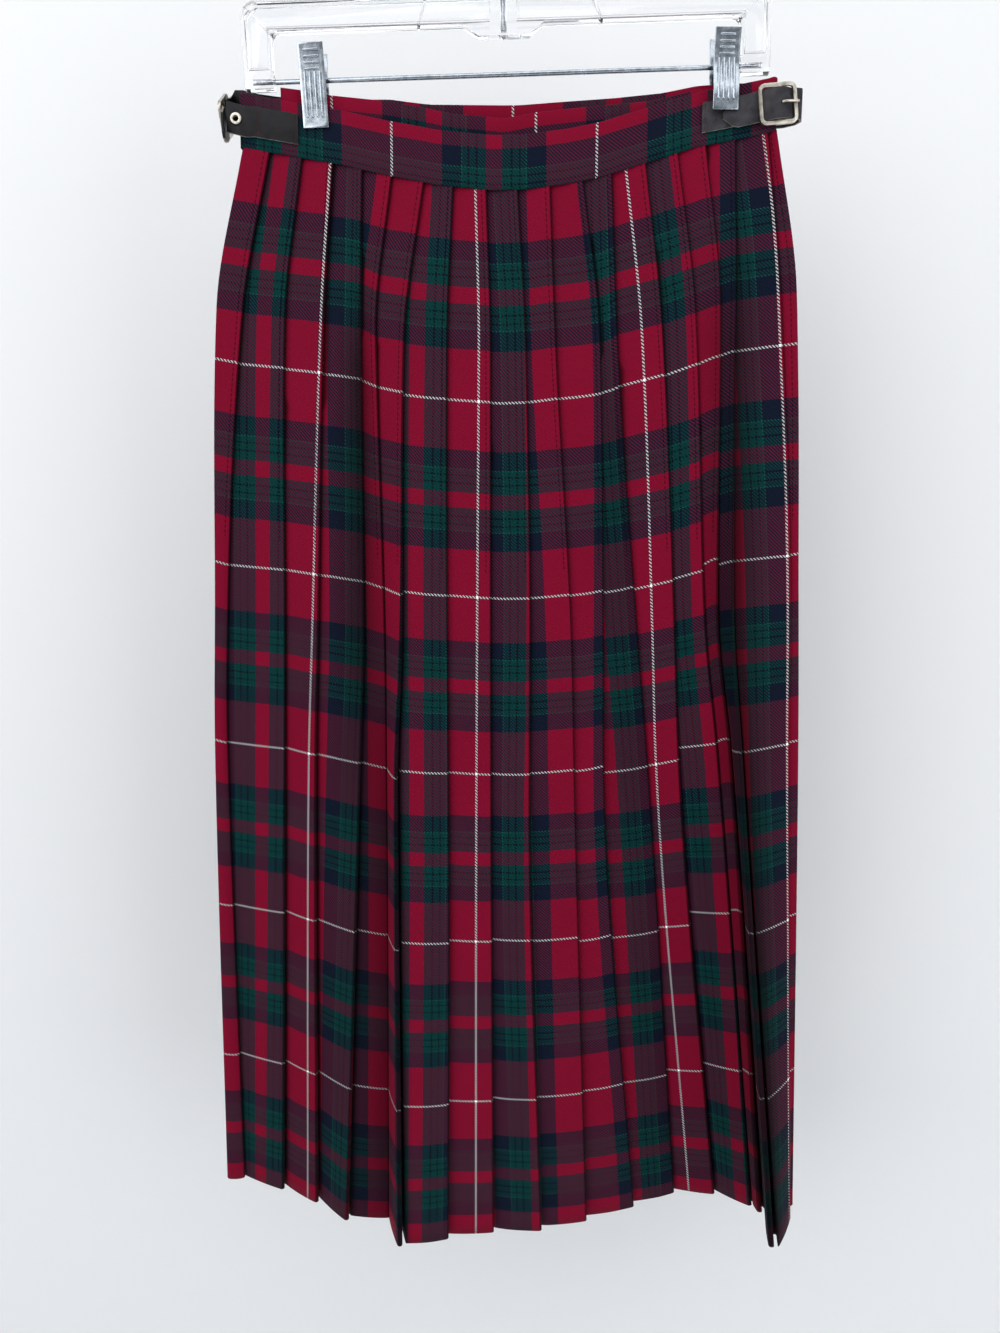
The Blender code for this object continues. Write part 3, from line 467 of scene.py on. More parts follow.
# Across at each station, depth at the hem, the drop where the fold leaves the seam's plane, and how deep
# its tuck may reach as a share of the strip it lies behind
FOLDS = (
    (-175.0, -199.0, -213.0, -219.0, -231.0, 23.0, 0.0, 0.85),
    (-158.0, -182.0, -205.0, -211.0, -219.0, 27.0, 0.0, 0.85),
    (-136.0, -152.0, -161.7, -166.3, -184.6, 18.0, 0.0, 0.85),
    (-115.5, -124.6, -136.3, -141.8, -154.2, 7.0, 0.0, 0.85),
    (-95.0, -98.3, -102.0, -107.0, -127.0, -8.0, 0.0, 0.85),
    (-75.0, -88.0, -86.3, -87.0, -93.0, 0.0, 0.0, 0.85),
    (-53.0, -68.0, -73.5, -78.5, -82.0, -25.0, 0.0, 0.85),
    (-33.0, -38.0, -39.8, -39.8, -43.6, -15.0, 0.0, 0.85),
    (-10.5, -7.6, -8.0, -8.0, -7.0, -5.0, 0.0, 0.85),
    (11.0, 17.0, 21.0, 21.0, 32.2, -3.0, 0.0, 0.85),
    (33.0, 38.0, 52.2, 55.4, 70.3, 5.0, 0.0, 0.85),
    (55.5, 69.2, 75.9, 78.3, 111.3, 17.0, 0.0, 0.85),
    (75.0, 81.3, 101.9, 112.8, 147.2, 28.0, 0.0, 0.85),
    (98.0, 112.5, 128.8, 135.5, 178.4, 18.0, 0.0, 0.85),
    (120.0, 135.6, 149.5, 162.6, 203.2, -4.0, 0.0, 0.85),
    (139.0, 152.6, 157.5, 170.0, 207.3, -17.0, 0.0, 0.6),
    (159.0, 163.5, 166.5, 174.0, 205.3, -58.0, 150.0, 0.6),
    (181.0, 194.6, 210.3, 213.0, 228.2, -34.0, 150.0, 0.5),
    (188.0, 206.6, 217.7, 222.0, 234.0, -22.0, 150.0, 0.35))
# Where the woven pattern lies: the cloth's reading at this strip's fold edge at the seam, and how far the
# reading has moved on by the hem
PATTERN_STRIP = 8
PATTERN_AT_SEAM = 6.3
PATTERN_SHIFT = 6.7
# Each apron's depth at the hem, and the soft wave that its hem hangs in
APRON_HEM = {"outer": 58.0, "under": 49.0}
APRON_WAVE = 1.8
APRON_WAVE_LENGTH = 170.0


def lookup(table, x, column=1):
    """Reads a table's column at x, straight between its rows and held beyond its ends."""
    return float(np.interp(x, [row[0] for row in table], [row[column] for row in table]))


def smooth(stations, values, at):
    """Reads a smooth curve through the values, with no overshoot between them."""
    slopes = [(b - a) / (q - p) for p, q, a, b in zip(stations, stations[1:], values, values[1:])]
    tangents = [slopes[0]]
    for left, right in zip(slopes, slopes[1:]):
        tangents.append(0.0 if left * right <= 0 else 2 * left * right / (left + right))
    tangents.append(slopes[-1])
    i = min(len(slopes) - 1, max(0, int(np.searchsorted(stations, at)) - 1))
    span = stations[i + 1] - stations[i]
    t = (at - stations[i]) / span
    t2, t3 = t * t, t * t * t
    return ((2 * t3 - 3 * t2 + 1) * values[i] + (t3 - 2 * t2 + t) * span * tangents[i]
            + (3 * t2 - 2 * t3) * values[i + 1] + (t3 - t2) * span * tangents[i + 1])


def layer_depth(layer, x, share):
    """Depth of a waistband layer's middle, share running from 0 at the seam to 1 at the top."""
    top, seam = (lookup(LAYER_DEPTHS, x, column) for column in LAYERS[layer])
    return top + (seam - top) * (1.0 - share) ** 2


def seam_height(layer, x):
    """Height of a layer's waist seam."""
    if layer == "near":
        return lookup(WAIST_SEAM, x)
    return lookup(UNDER_TOP if layer == "under" else OUTER_TOP, x) - BAND_HEIGHT


def fold_place(number, drop):
    """Across and depth of one fold edge at a distance below the seam."""
    row = FOLDS[number]
    seam_y = layer_depth("near", row[0], 0.0) - (BAND_WALL - CAD_WALL) / 2
    opened = max(0.0, drop - row[6]) / (SKIRT_DROP - row[6])
    return np.array((smooth(FOLD_STATIONS, row[:5], drop), seam_y + (row[5] - seam_y) * opened))


def apron_depth(layer, x, drop):
    """Depth of an apron at a distance below its seam."""
    share = drop / SKIRT_DROP
    wave = APRON_WAVE * math.sin(2 * math.pi * x / APRON_WAVE_LENGTH) * share
    seam = layer_depth(layer, x, 0.0)
    return seam + (APRON_HEM[layer] + wave - seam) * share


def weft_at(drop, strip):
    """The cloth's lengthwise reading at a distance below the seam on one strip."""
    eases = [lookup(STRIP_EASE, strip, 1 + i) for i in range(len(STRIP_EASE_AT))]
    ease = np.interp(drop, STRIP_EASE_AT, eases)
    return lookup(WEFT_PLACES, drop) - ease * min(1.0, max(0.0, drop) / STRIP_EASE_AT[0])


print("pleats:", len(FOLDS) - 1)

# %% [markdown]
# ## Mesh helpers for cloth
# A sheet is a grid of points with a cloth coordinate at each one. The grid is the middle of the wool and
# Solidify gives it its thickness, so the pattern carries over the edges.

# %% Cloth builder
def grid_piece(name, points, cloth, material, ring=False, marks=()):
    """A smooth grid from rows of points and their cloth coordinates in millimetres, and marks by name."""
    points = np.asarray(points, float) * MM
    cloth = np.asarray(cloth, float) * MM
    rows, columns = points.shape[:2]
    mesh = bpy.data.meshes.new(name)
    a = np.arange(rows * columns).reshape(rows, columns)
    if ring:
        b = np.roll(a, -1, axis=1)
        faces = np.stack([a[:-1], b[:-1], b[1:], a[1:]], axis=-1).reshape(-1, 4)
    else:
        faces = np.stack([a[:-1, :-1], a[:-1, 1:], a[1:, 1:], a[1:, :-1]], axis=-1).reshape(-1, 4)
    caps = [list(a[0])[::-1], list(a[-1])] if ring else []
    mesh.from_pydata(points.reshape(-1, 3).tolist(), [], faces.tolist() + caps)
    layer = mesh.uv_layers.new(name="cloth")
    corner = np.empty(len(mesh.loops), int)
    mesh.loops.foreach_get("vertex_index", corner)
    layer.data.foreach_set("uv", cloth.reshape(-1, 2)[corner].ravel())
    for label, values in marks:
        mark = mesh.attributes.new(label, "FLOAT", "POINT")
        mark.data.foreach_set("value", np.asarray(values, float).ravel())
    mesh.materials.append(material)
    mesh.shade_smooth()
    piece = bpy.data.objects.new(name, mesh)
    bpy.context.scene.collection.objects.link(piece)
    return piece


def only(piece):
    """Makes one object the only selected and the active one."""
    bpy.ops.object.select_all(action="DESELECT")
    piece.select_set(True)
    bpy.context.view_layer.objects.active = piece


def thicken(piece, thickness):
    """Gives a sheet its wall, half to each side."""
    only(piece)
    wall = piece.modifiers.new("wall", "SOLIDIFY")
    wall.thickness = thickness * MM
    wall.offset = 0.0
    bpy.ops.object.modifier_apply(modifier=wall.name)
    print(piece.name, "faces", len(piece.data.polygons))


def stands_for(piece, node):
    """Hides a solid and attaches the finished piece that takes its place to the root body."""
    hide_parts(node)
    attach(piece, "root")


print("cloth wall:", CLOTH_WALL, "mm")

# %% [markdown]
# ## The pleated back
# Each knife pleat is a visible strip, a fold, cloth tucked back behind it and a second fold that brings
# the cloth out again. The line is worked out at every height, with small round folds, and the pattern
# coordinate runs along it from fold edge to fold edge, so the tucked cloth swallows the same stripes as
# the real one.

# %% Pleats
# Shares of the way across a strip where it has points, and two more, close together, that a seam may take
STRIP_SHARES = (0.04, 0.1, 0.2, 0.34, 0.5, 0.8, 0.9, 0.96, 1.0)
SPARE_SHARES = (0.66, 0.67)
# Painted shade on the first points of a strip, where it comes out from under the fold before it
CREASE_SHADE_SHARES = (0.7, 0.2) + (0.0,) * 9
# This strip carries a flat seam: its share across at the top, and the readings just before and after it
SEAMED_STRIP = 17
STRIP_SEAM = (0.665, 522.0, 555.0)
SEAM_HALF = 0.004
SEAM_LIMIT = 0.93
# Drop, and how far the flat seam has wandered towards the side
SEAM_WANDER = (
    (0, 3.9), (32, 6.0), (75, 8.5), (135, 10.6), (205, 12.5),
    (300, 11.4), (445, 10.5), (680, 6.5), (802, 4.5))
# Painted shade on strips that lie in a valley between pleats, each with rows of drop, then how dark it is
# painted at the strip's left and at its right
VALLEY_SHADE = {
    4: ((60, 0.0, 0.0), (130, -0.3, 0.9), (330, -0.3, 0.8), (480, 0.0, 0.2), (802, 0.0, 0.1)),
    5: ((60, 0.0, 0.0), (130, 1.0, 0.1), (330, 0.9, 0.3), (480, 0.5, 0.6), (802, 0.3, 0.5)),
    12: ((90, 0.0, 0.0), (170, 0.1, 0.5), (400, 0.1, 0.3), (802, 0.0, 0.1)),
    15: ((40, 0.0, 0.0), (130, 0.1, 0.5), (802, 0.0, 0.3)),
    16: ((40, 0.0, 0.0), (130, 0.45, 0.6), (802, 0.3, 0.5)),
    17: ((40, 0.0, 0.0), (130, 0.85, -0.6), (802, 0.85, -0.5))}
FOLD_STEPS = 4
TURN_STEPS = 5
PLEAT_LEVELS = 92
# How far a strip bulges forward where the pleats are sewn down, and lower where they hang free, and how
# fast it gets there below the stitching
STRIP_CROWN = (0.15, 0.9)
CROWN_GROWS = 3
CROWN_POWER = 0.8
# The pleats' edges are stitched down to this drop, and cloth with no stitched edge has this distance to it
EDGE_STITCHED = 262.0
NO_EDGE = 1.0
# The top of the cloth is set back this far, to lie behind the band, and is back in line at this drop
SEAM_SETBACK = 0.5
SETBACK_DROP = 6.0
# The first drops where the cloth has points, before they are evenly spaced
TOP_LEVELS = (-SEAM_TUCK, 0.0, 2.5)
# Sine of the least turn between two strips that makes room for the fold's wall
LEAST_TURN = 0.05


def half_turn(first, second, way, steps):
    """Round fold from the first point to the second, bulging along way."""
    centre = (first + second) / 2
    radius = np.linalg.norm(second - first) / 2
    side = (first - centre) / max(radius, 1e-9)
    angles = np.linspace(0.0, math.pi, steps + 2)[1:-1]
    return [centre + side * radius * math.cos(a) + way * radius * math.sin(a) for a in angles]


def side_turn(x_side, y_front, y_back, towards):
    """Round corner at a side edge, from the back layer to the front layer."""
    corner = min(SIDE_CORNER, CORNER_SHARE * (y_back - y_front))
    points = []
    for cy, first, last in ((y_back - corner, 90.0, 0.0), (y_front + corner, 0.0, -90.0)):
        for angle in np.radians(np.linspace(first, last, TURN_STEPS)):
            points.append(np.array((x_side + towards * corner * (1.0 - math.cos(angle)),
                                    cy + corner * math.sin(angle))))
    return points


def lengths(points):
    """Running length along a line of points, seen from above."""
    flat = [np.array(point[:2]) for point in points]
    steps = [0.0] + [float(np.linalg.norm(b - a)) for a, b in zip(flat, flat[1:])]
    return np.cumsum(steps)


def pattern_at_fold(number, drop):
    """Cloth reading at a pleat's fold edge."""
    return PATTERN_AT_SEAM + PLEAT_CLOTH * (number - PATTERN_STRIP) + PATTERN_SHIFT * drop / SKIRT_DROP


def seam_share(width, drop):
    """Where the flat seam runs, as a share of the way across its strip."""
    return min(SEAM_LIMIT, STRIP_SEAM[0] + lookup(SEAM_WANDER, drop) / width)


def strip_reading(number, width, drop, share):
    """Cloth reading at a share of the way across one strip."""
    if number != SEAMED_STRIP:
        return pattern_at_fold(number, drop) - width * (1.0 - share)
    seam = seam_share(width, drop)
    return STRIP_SEAM[1 if share < seam else 2] + width * (share - seam)


def strip_shares(number, width, drop):
    """Shares of the way across a strip where it has points, two of them at the flat seam if there is one."""
    if number != SEAMED_STRIP:
        return sorted(STRIP_SHARES + SPARE_SHARES)
    seam = seam_share(width, drop)
    return sorted(STRIP_SHARES + (seam - SEAM_HALF, seam + SEAM_HALF))


def valley_shade(number, share, drop):
    """Painted shade on a strip that lies in a valley between pleats, from 0 to 1."""
    if number not in VALLEY_SHADE:
        return 0.0
    at_left, at_right = (lookup(VALLEY_SHADE[number], drop, column) for column in (1, 2))
    return max(0.0, at_left + (at_right - at_left) * share)


def side_rows(turn, readings, strip):
    """Rows of point, cloth reading, painted crease shade, strip and distance to a stitched edge, round a
    side.
    """
    return [(point, reading, 0.0, strip, NO_EDGE) for point, reading in zip(turn, readings)]


def heading(start, edge):
    """Length from start to edge, the way there and the way into the cloth."""
    width = float(np.linalg.norm(edge - start))
    way = (edge - start) / width
    return width, way, np.array((-way[1], way[0]))


def strip_rows(number, start, edge, drop, crown):
    """The same rows along one strip that shows, from where it comes out to its fold edge."""
    width, _, inward = heading(start, edge)
    rows = []
    for share, crease_shade in zip(strip_shares(number, width, drop), CREASE_SHADE_SHARES):
        bulge = crown * math.sin(math.pi * share) ** CROWN_POWER if share < 1.0 else 0.0
        point = start + (edge - start) * share - inward * bulge
        # Painted shade: the strip's crease shade and its valley shade, added up
        depth = (crease_shade if number > 1 else 0.0) + valley_shade(number, share, drop)
        reading = strip_reading(number, width, drop, share)
        rows.append((point, reading, min(1.0, depth), float(number), width * (1.0 - share) * MM))
    return rows


def tucked_rows(number, start, edge, reading, drop, pitch):
    """The same rows through the cloth tucked behind a fold edge, up to where the next strip comes out."""
    width, way, inward = heading(start, edge)
    next_edge = fold_place(number + 1, drop)
    emerge = edge + inward * 2 * pitch
    _, next_way, _ = heading(emerge, next_edge)
    turned = max(0.0, next_way[0] * way[1] - next_way[1] * way[0])
    if turned > LEAST_TURN:
        emerge = emerge + way * max(0.0, (FOLD_CLEARANCE - pitch * float(next_way @ way)) / turned)
    next_width = float(np.linalg.norm(next_edge - emerge))
    tuck = min((PLEAT_CLOTH - next_width) / 2, width * FOLDS[number + 1][7])
    tuck = max(tuck, 2 * pitch)
    inner = edge + inward * pitch - way * tuck
    behind = edge + inward * 2 * pitch - way * tuck
    hidden = [edge] + half_turn(edge, edge + inward * pitch, way, FOLD_STEPS)
    hidden += [edge + inward * pitch, edge + inward * pitch - way * tuck / 2, inner]
    hidden += half_turn(inner, behind, -way, FOLD_STEPS) + [behind]
    hidden += [(behind + emerge) / 2, emerge]
    shares = lengths(hidden) / lengths(hidden)[-1]
    after = strip_reading(number + 1, next_width, drop, 0.0)
    rows = []
    for point, share in zip(hidden[1:], shares[1:]):
        gap = 0.0 if share < 1.0 else NO_EDGE
        # Cloth tucked behind a fold gets the full painted crease shade
        rows.append((point, reading + (after - reading) * share, 1.0, number + share, gap))
    return rows


def pleat_line(drop):
    """One level's line through the pleats: points, readings, painted crease shades, strips, edge distances.
    """
    below = max(0.0, drop - FELL_DEPTH) / (SKIRT_DROP - FELL_DEPTH)
    pitch = PITCH_SEWN + (PITCH_HEM - PITCH_SEWN) * below
    crown = STRIP_CROWN[0] + (STRIP_CROWN[1] - STRIP_CROWN[0]) * min(1.0, below * CROWN_GROWS)
    left = fold_place(0, drop)
    turn = side_turn(left[0], left[1], apron_depth("outer", left[0], drop), 1)
    start = turn[-1]
    first = pattern_at_fold(1, drop) - np.linalg.norm(fold_place(1, drop) - start)
    rows = side_rows(turn, first - (lengths(turn)[-1] - lengths(turn)), 0.5)
    last = len(FOLDS) - 1
    for number in range(1, last):
        edge = fold_place(number, drop)
        rows += strip_rows(number, start, edge, drop, crown)
        rows += tucked_rows(number, start, edge, rows[-1][1], drop, pitch)
        start = rows[-1][0]
    right = fold_place(last, drop)
    turn = side_turn(right[0], right[1], apron_depth("under", right[0], drop), -1)[::-1]
    rows += strip_rows(last, start, turn[0], drop, crown)
    rows += side_rows(turn[1:], rows[-1][1] + lengths(turn)[1:], float(last))
    return [list(column) for column in zip(*rows)]


def build_pleats():
    """The length of cloth laid in knife pleats, from side to side."""
    seam_z = [seam_height("near", point[0]) for point in pleat_line(0.0)[0]]
    levels = np.concatenate([TOP_LEVELS, np.linspace(SETBACK_DROP, SKIRT_DROP, PLEAT_LEVELS)])
    points = []
    cloth = []
    crease_shade = []
    fold_gap = []
    for drop in levels:
        line, readings, crease_shades, strips, gaps = pleat_line(max(0.0, drop))
        setback = SEAM_SETBACK * max(0.0, 1.0 - max(0.0, drop) / SETBACK_DROP)
        points.append([(p[0], p[1] + setback, z - drop) for p, z in zip(line, seam_z)])
        cloth.append([(reading, weft_at(drop, strip)) for reading, strip in zip(readings, strips)])
        crease_shade.append(crease_shades)
        fold_gap.append([gap if drop < EDGE_STITCHED else NO_EDGE for gap in gaps])
    marks = (("crease_shade", crease_shade), ("fold_gap", fold_gap))
    piece = grid_piece("pleated_cloth", points, cloth, WOOL, marks=marks)
    thicken(piece, CLOTH_WALL)
    stands_for(piece, "pleated_back")


build_pleats()

# %% [markdown]
# ## The two aprons
# Behind the pleats hang two flat panels: the under apron, and over it, on the far side, the outer one
# with its free edge. They are plain sheets that swing out a little towards the hem.

# %% Aprons
APRON_COLUMNS = 60
APRON_LEVELS = 60
# The first drop of the evenly spaced ones
APRON_EVEN_FROM = 4.0
# Across of each apron's free edge, at the seam and at the hem
FREE_EDGE = {"outer": (181.0, 222.0), "under": (-149.0, -186.0)}


def build_apron(layer):
    """One flat panel, from the skirt's side to its free edge."""
    end, strip, sign = (0, 0.5, 1) if layer == "outer" else (-1, float(len(FOLDS) - 1), -1)
    levels = np.concatenate([TOP_LEVELS[:2], np.linspace(APRON_EVEN_FROM, SKIRT_DROP, APRON_LEVELS)])
    seam_start = pleat_line(0.0)[0][end][0]
    free_seam, free_hem = FREE_EDGE[layer]
    points = []
    cloth = []
    for drop in levels:
        below = max(0.0, drop)
        line, readings = pleat_line(below)[:2]
        side = line[end][0]
        free = free_seam + (free_hem - free_seam) * below / SKIRT_DROP
        row = []
        marks = []
        for share in np.linspace(0.0, 1.0, APRON_COLUMNS):
            x = side + (free - side) * share
            seam_x = seam_start + (free_seam - seam_start) * share
            row.append((x, apron_depth(layer, x, below), seam_height(layer, seam_x) - drop))
            marks.append((readings[end] - sign * abs(x - side), weft_at(drop, strip)))
        points.append(row)
        cloth.append(marks)
    piece = grid_piece(layer + "_apron_cloth", points, cloth, WOOL)
    thicken(piece, CLOTH_WALL)
    stands_for(piece, layer + "_apron")


for layer in FREE_EDGE:
    build_apron(layer)

# %% [markdown]
# ## The waistband
# One straight strip of the same cloth, folded double, runs round the back and on over each apron. Its
# top edge is a soft fold, so the band is a ring of points with a rounded top, carried along the waist.

# %% Waistband
BAND_LEFT = -176.0
BAND_RIGHT = 187.0
UNDER_BAND_LEFT = -149.0
OUTER_BAND_RIGHT = 182.0
NEAR_STOPS = 90
FAR_STOPS = 80
# How far the near stretch stops short of its side corners, and a far one starts away from its own
CORNER_ROOM = 6.0
FAR_START = 0.6
# The band's top is this many points round, and its flat faces have points at these shares of its height
TOP_POINTS = 7
FACE_SHARES = (0.2, 0.4, 0.6, 0.8)
# Its lower edges are cut back by this much and begin this far up
EDGE_CUT = 0.5
EDGE_RISE = 0.6
# Where a white warp line lies on each stretch, and how far above the seam the white weft line would lie
BAND_PATTERN = {"near": -73.5, "under": 24.5, "outer": 8.9}
BAND_WEFT = 60.0


def band_ring(height, half):
    """Cross-section of the band: offsets from its middle and heights above the seam, front first."""
    ring = [(-half + EDGE_CUT, 0.0), (-half, EDGE_RISE)]
    ring += [(-half, height * share) for share in FACE_SHARES]
    for angle in np.radians(np.linspace(180.0, 0.0, TOP_POINTS)):
        ring.append((half * math.cos(angle), height - half + half * math.sin(angle)))
    ring += [(half, height * share) for share in FACE_SHARES[::-1]]
    ring += [(half, EDGE_RISE), (half - EDGE_CUT, 0.0)]
    return ring


def build_band(name, stops):
    """One stretch of band. A stop is across, a function of share for depth, seam height and reading."""
    ring = band_ring(BAND_HEIGHT, BAND_WALL / 2)
    places = []
    for x, depth_at, _, _ in stops:
        places.append([np.array((x, depth_at(min(1.0, height / BAND_HEIGHT)))) for _, height in ring])
    points = []
    cloth = []
    for i, (_, _, seam_z, reading) in enumerate(stops):
        row = []
        for k, (offset, height) in enumerate(ring):
            before = places[max(0, i - 1)][k]
            after = places[min(len(stops) - 1, i + 1)][k]
            spot = places[i][k] + heading(before, after)[2] * offset
            row.append((spot[0], spot[1], seam_z + height))
        points.append(row)
        cloth.append([(reading, BAND_WEFT - height) for _, height in ring])
    piece = grid_piece(name + "_cloth", points, cloth, WOOL, ring=True)
    stands_for(piece, name)


def band_stops(layer, first, last, count, white):
    """Stops along a flat stretch of band."""
    stops = []
    for x in np.linspace(first, last, count):
        stops.append((
            x, lambda share, x=x: layer_depth(layer, x, share), seam_height(layer, x), x - white))
    return stops


def side_stops(x_side, far, towards, white):
    """Stops round a side edge, from the far layer to the near one."""
    def turn_at(share):
        front = layer_depth("near", x_side, share)
        return side_turn(x_side, front, layer_depth(far, x_side, share), towards)

    middle = turn_at(0.5)
    run = lengths(middle)
    stops = []
    for k, point in enumerate(middle):
        reading = middle[-1][0] - white - towards * (run[-1] - run[k])
        stops.append((
            point[0], lambda share, k=k: turn_at(share)[k][1], seam_height("near", x_side), reading))
    return stops


def build_waistband():
    """The three stretches of band."""
    white = BAND_PATTERN["near"]
    left = side_stops(BAND_LEFT, "outer", 1, white)
    right = side_stops(BAND_RIGHT, "under", -1, white)[::-1]
    middle = band_stops("near", BAND_LEFT + CORNER_ROOM, BAND_RIGHT - CORNER_ROOM, NEAR_STOPS, white)
    build_band("waistband_back", left + middle + right)
    outer_start = left[0][0] + FAR_START
    build_band("waistband_outer_apron", band_stops(
        "outer", outer_start, OUTER_BAND_RIGHT, FAR_STOPS, BAND_PATTERN["outer"]))
    under_end = right[-1][0] - FAR_START
    build_band("waistband_under_apron", band_stops(
        "under", UNDER_BAND_LEFT, under_end, FAR_STOPS, BAND_PATTERN["under"]))


build_waistband()

# %% [markdown]
# ## Finishes for leather, metal and clear plastic
# Each hard material has fine detail at its own scale: pores and creases in leather, faint brushing and
# tarnish on the plated metal, hairline scratches on the clear plastic. One group gives the worn metal look
# and one the leather grain, and each material places them with its own values.

# %% Leather and metal groups
PORE_SCALE = 1500.0
PORE_DEPTH = 0.7
MOTTLE_SCALE = 160.0
TARNISH_SCALE = 240.0
SCRATCH_SCALE = 2600.0
# Scratches run along the height, so the noise is read more slowly that way
SCRATCH_STRETCH = 0.12


def grain_group():
    """Leather grain: a mottle from 0 to 1 and a pebbled height with fine pores."""
    group, inside, out = new_group(
        "leather_grain", [("Place", "NodeSocketVector", None)],
        [("Mottle", "NodeSocketFloat"), ("Height", "NodeSocketFloat")])
    cells = add_node(group, "ShaderNodeTexVoronoi", feature="SMOOTH_F1")
    cells.inputs["Scale"].default_value = PORE_SCALE
    group.links.new(inside.outputs["Place"], cells.inputs["Vector"])
    mottle = noise_node(group, MOTTLE_SCALE, inside.outputs["Place"], detail=5.0)
    group.links.new(mottle, out.inputs["Mottle"])
    pebble = math_node(group, "MULTIPLY_ADD", cells.outputs["Distance"], -PORE_DEPTH, mottle)
    group.links.new(pebble, out.inputs["Height"])
    return group


def plate_group():
    """Plated metal: cloudy tarnish from 0 to 1 and short scratches along the piece."""
    group, inside, out = new_group(
        "plated_metal", [("Place", "NodeSocketVector", None)],
        [("Tarnish", "NodeSocketFloat"), ("Scratch", "NodeSocketFloat")])
    stretch = add_node(group, "ShaderNodeMapping")
    stretch.inputs["Scale"].default_value = (1.0, 1.0, SCRATCH_STRETCH)
    group.links.new(inside.outputs["Place"], stretch.inputs["Vector"])
    tarnish = noise_node(group, TARNISH_SCALE, inside.outputs["Place"], detail=4.0)
    group.links.new(tarnish, out.inputs["Tarnish"])
    group.links.new(noise_node(group, SCRATCH_SCALE, stretch.outputs["Vector"]), out.inputs["Scratch"])
    return group


GRAIN = grain_group()
PLATE = plate_group()
print("finish groups:", GRAIN.name, PLATE.name)

# %% [markdown]
# ## Hard materials
# The straps and tabs are dark grained leather with paler cut edges, the buckles are plated metal that has
# worn warm, the hook, rod and clips are bright steel, and the hanger is clear plastic. The leather is one
# kind, made as a lit copy painted lighter for the right tab and strap and two copies painted darker as
# shade for the left strap and tab. Leathers differ only in tone and shine, and so do metals, so one recipe
# makes each kind from two tones and a roughness.

# %% Hard materials
# Where in the noise the low and the high tone stand
TONE_STOPS = (0.3, 0.7)
# How much rougher leather and metal are where their noise is high
LEATHER_ROUGHER = 0.2
METAL_ROUGHER = 0.22
CLEAR_ROUGH = 0.12


def placed_group(tree, group):
    """A group node fed with the piece's own coordinates."""
    place = add_node(tree, "ShaderNodeTexCoord")
    node = add_node(tree, "ShaderNodeGroup", node_tree=group)
    tree.links.new(place.outputs["Object"], node.inputs["Place"])
    return node


def two_tone(tree, factor, low, high):
    """A colour that runs from low to high with the factor."""
    ramp = add_node(tree, "ShaderNodeValToRGB")
    for stop, place, colour in zip(ramp.color_ramp.elements, TONE_STOPS, (low, high)):
        stop.position = place
        stop.color = (*colour, 1.0)
    tree.links.new(factor, ramp.inputs["Fac"])
    return ramp.outputs["Color"]


def leather_material(name, low, high, rough):
    """Grained leather between two tones."""
    hide, tree, shader = new_material(name)
    grain = placed_group(tree, GRAIN)
    mottle = grain.outputs["Mottle"]
    tree.links.new(two_tone(tree, mottle, low, high), shader.inputs["Base Color"])
    worn = math_node(tree, "MULTIPLY_ADD", mottle, LEATHER_ROUGHER, rough)
    tree.links.new(worn, shader.inputs["Roughness"])
    bumped(tree, shader, grain.outputs["Height"], distance=0.00025)
    shader.inputs["Specular IOR Level"].default_value = 0.2
    return hide


def metal_material(name, low, high, rough):
    """Plated metal between a clean and a tarnished tone."""
    metal, tree, shader = new_material(name)
    shader.inputs["Metallic"].default_value = 1.0
    plate = placed_group(tree, PLATE)
    tarnish = plate.outputs["Tarnish"]
    tree.links.new(two_tone(tree, tarnish, low, high), shader.inputs["Base Color"])
    worn = math_node(tree, "MULTIPLY_ADD", tarnish, METAL_ROUGHER, rough - METAL_ROUGHER / 2)
    tree.links.new(worn, shader.inputs["Roughness"])
    bumped(tree, shader, plate.outputs["Scratch"], distance=0.00003, strength=0.3)
    return metal


def clear_material():
    """Clear moulded plastic with hairline scratches."""
    clear, tree, shader = new_material("clear_plastic")
    shader.inputs["Base Color"].default_value = (0.97, 0.975, 0.985, 1.0)
    shader.inputs["Transmission Weight"].default_value = 1.0
    shader.inputs["IOR"].default_value = 1.49
    tarnish = placed_group(tree, PLATE).outputs["Tarnish"]
    tree.links.new(math_node(tree, "MULTIPLY", tarnish, CLEAR_ROUGH), shader.inputs["Roughness"])
    bumped(tree, shader, tarnish, distance=0.0002, strength=0.25)
    return clear


# Painted light: one leather, as a lit copy painted lighter and two shaded copies painted darker
# name, low tone, high tone, roughness
LIT_LEATHER = leather_material("lit_leather", (0.016, 0.0155, 0.019), (0.042, 0.040, 0.046), 0.45)
SHADED_LEATHER = leather_material("shaded_leather", (0.003, 0.003, 0.0035), (0.009, 0.0085, 0.010), 0.4)
SHADED_TAB_LEATHER = leather_material("shaded_tab_leather", (0.004, 0.0038, 0.0045), (0.013, 0.012, 0.0145), 0.42)
CUT_EDGE = leather_material("cut_leather_edge", (0.12, 0.11, 0.10), (0.30, 0.28, 0.26), 0.7)
THREAD = leather_material("stitch_thread", (0.030, 0.006, 0.011), (0.075, 0.014, 0.026), 0.75)
NICKEL = metal_material("worn_nickel", (0.31, 0.28, 0.23), (0.66, 0.62, 0.54), 0.34)
STEEL = metal_material("bright_steel", (0.30, 0.34, 0.38), (0.50, 0.55, 0.60), 0.26)
CLEAR = clear_material()
HARD_FINISHES = (LIT_LEATHER, SHADED_LEATHER, SHADED_TAB_LEATHER, CUT_EDGE, THREAD, NICKEL, STEEL, CLEAR)
print("hard finishes:", len(HARD_FINISHES))

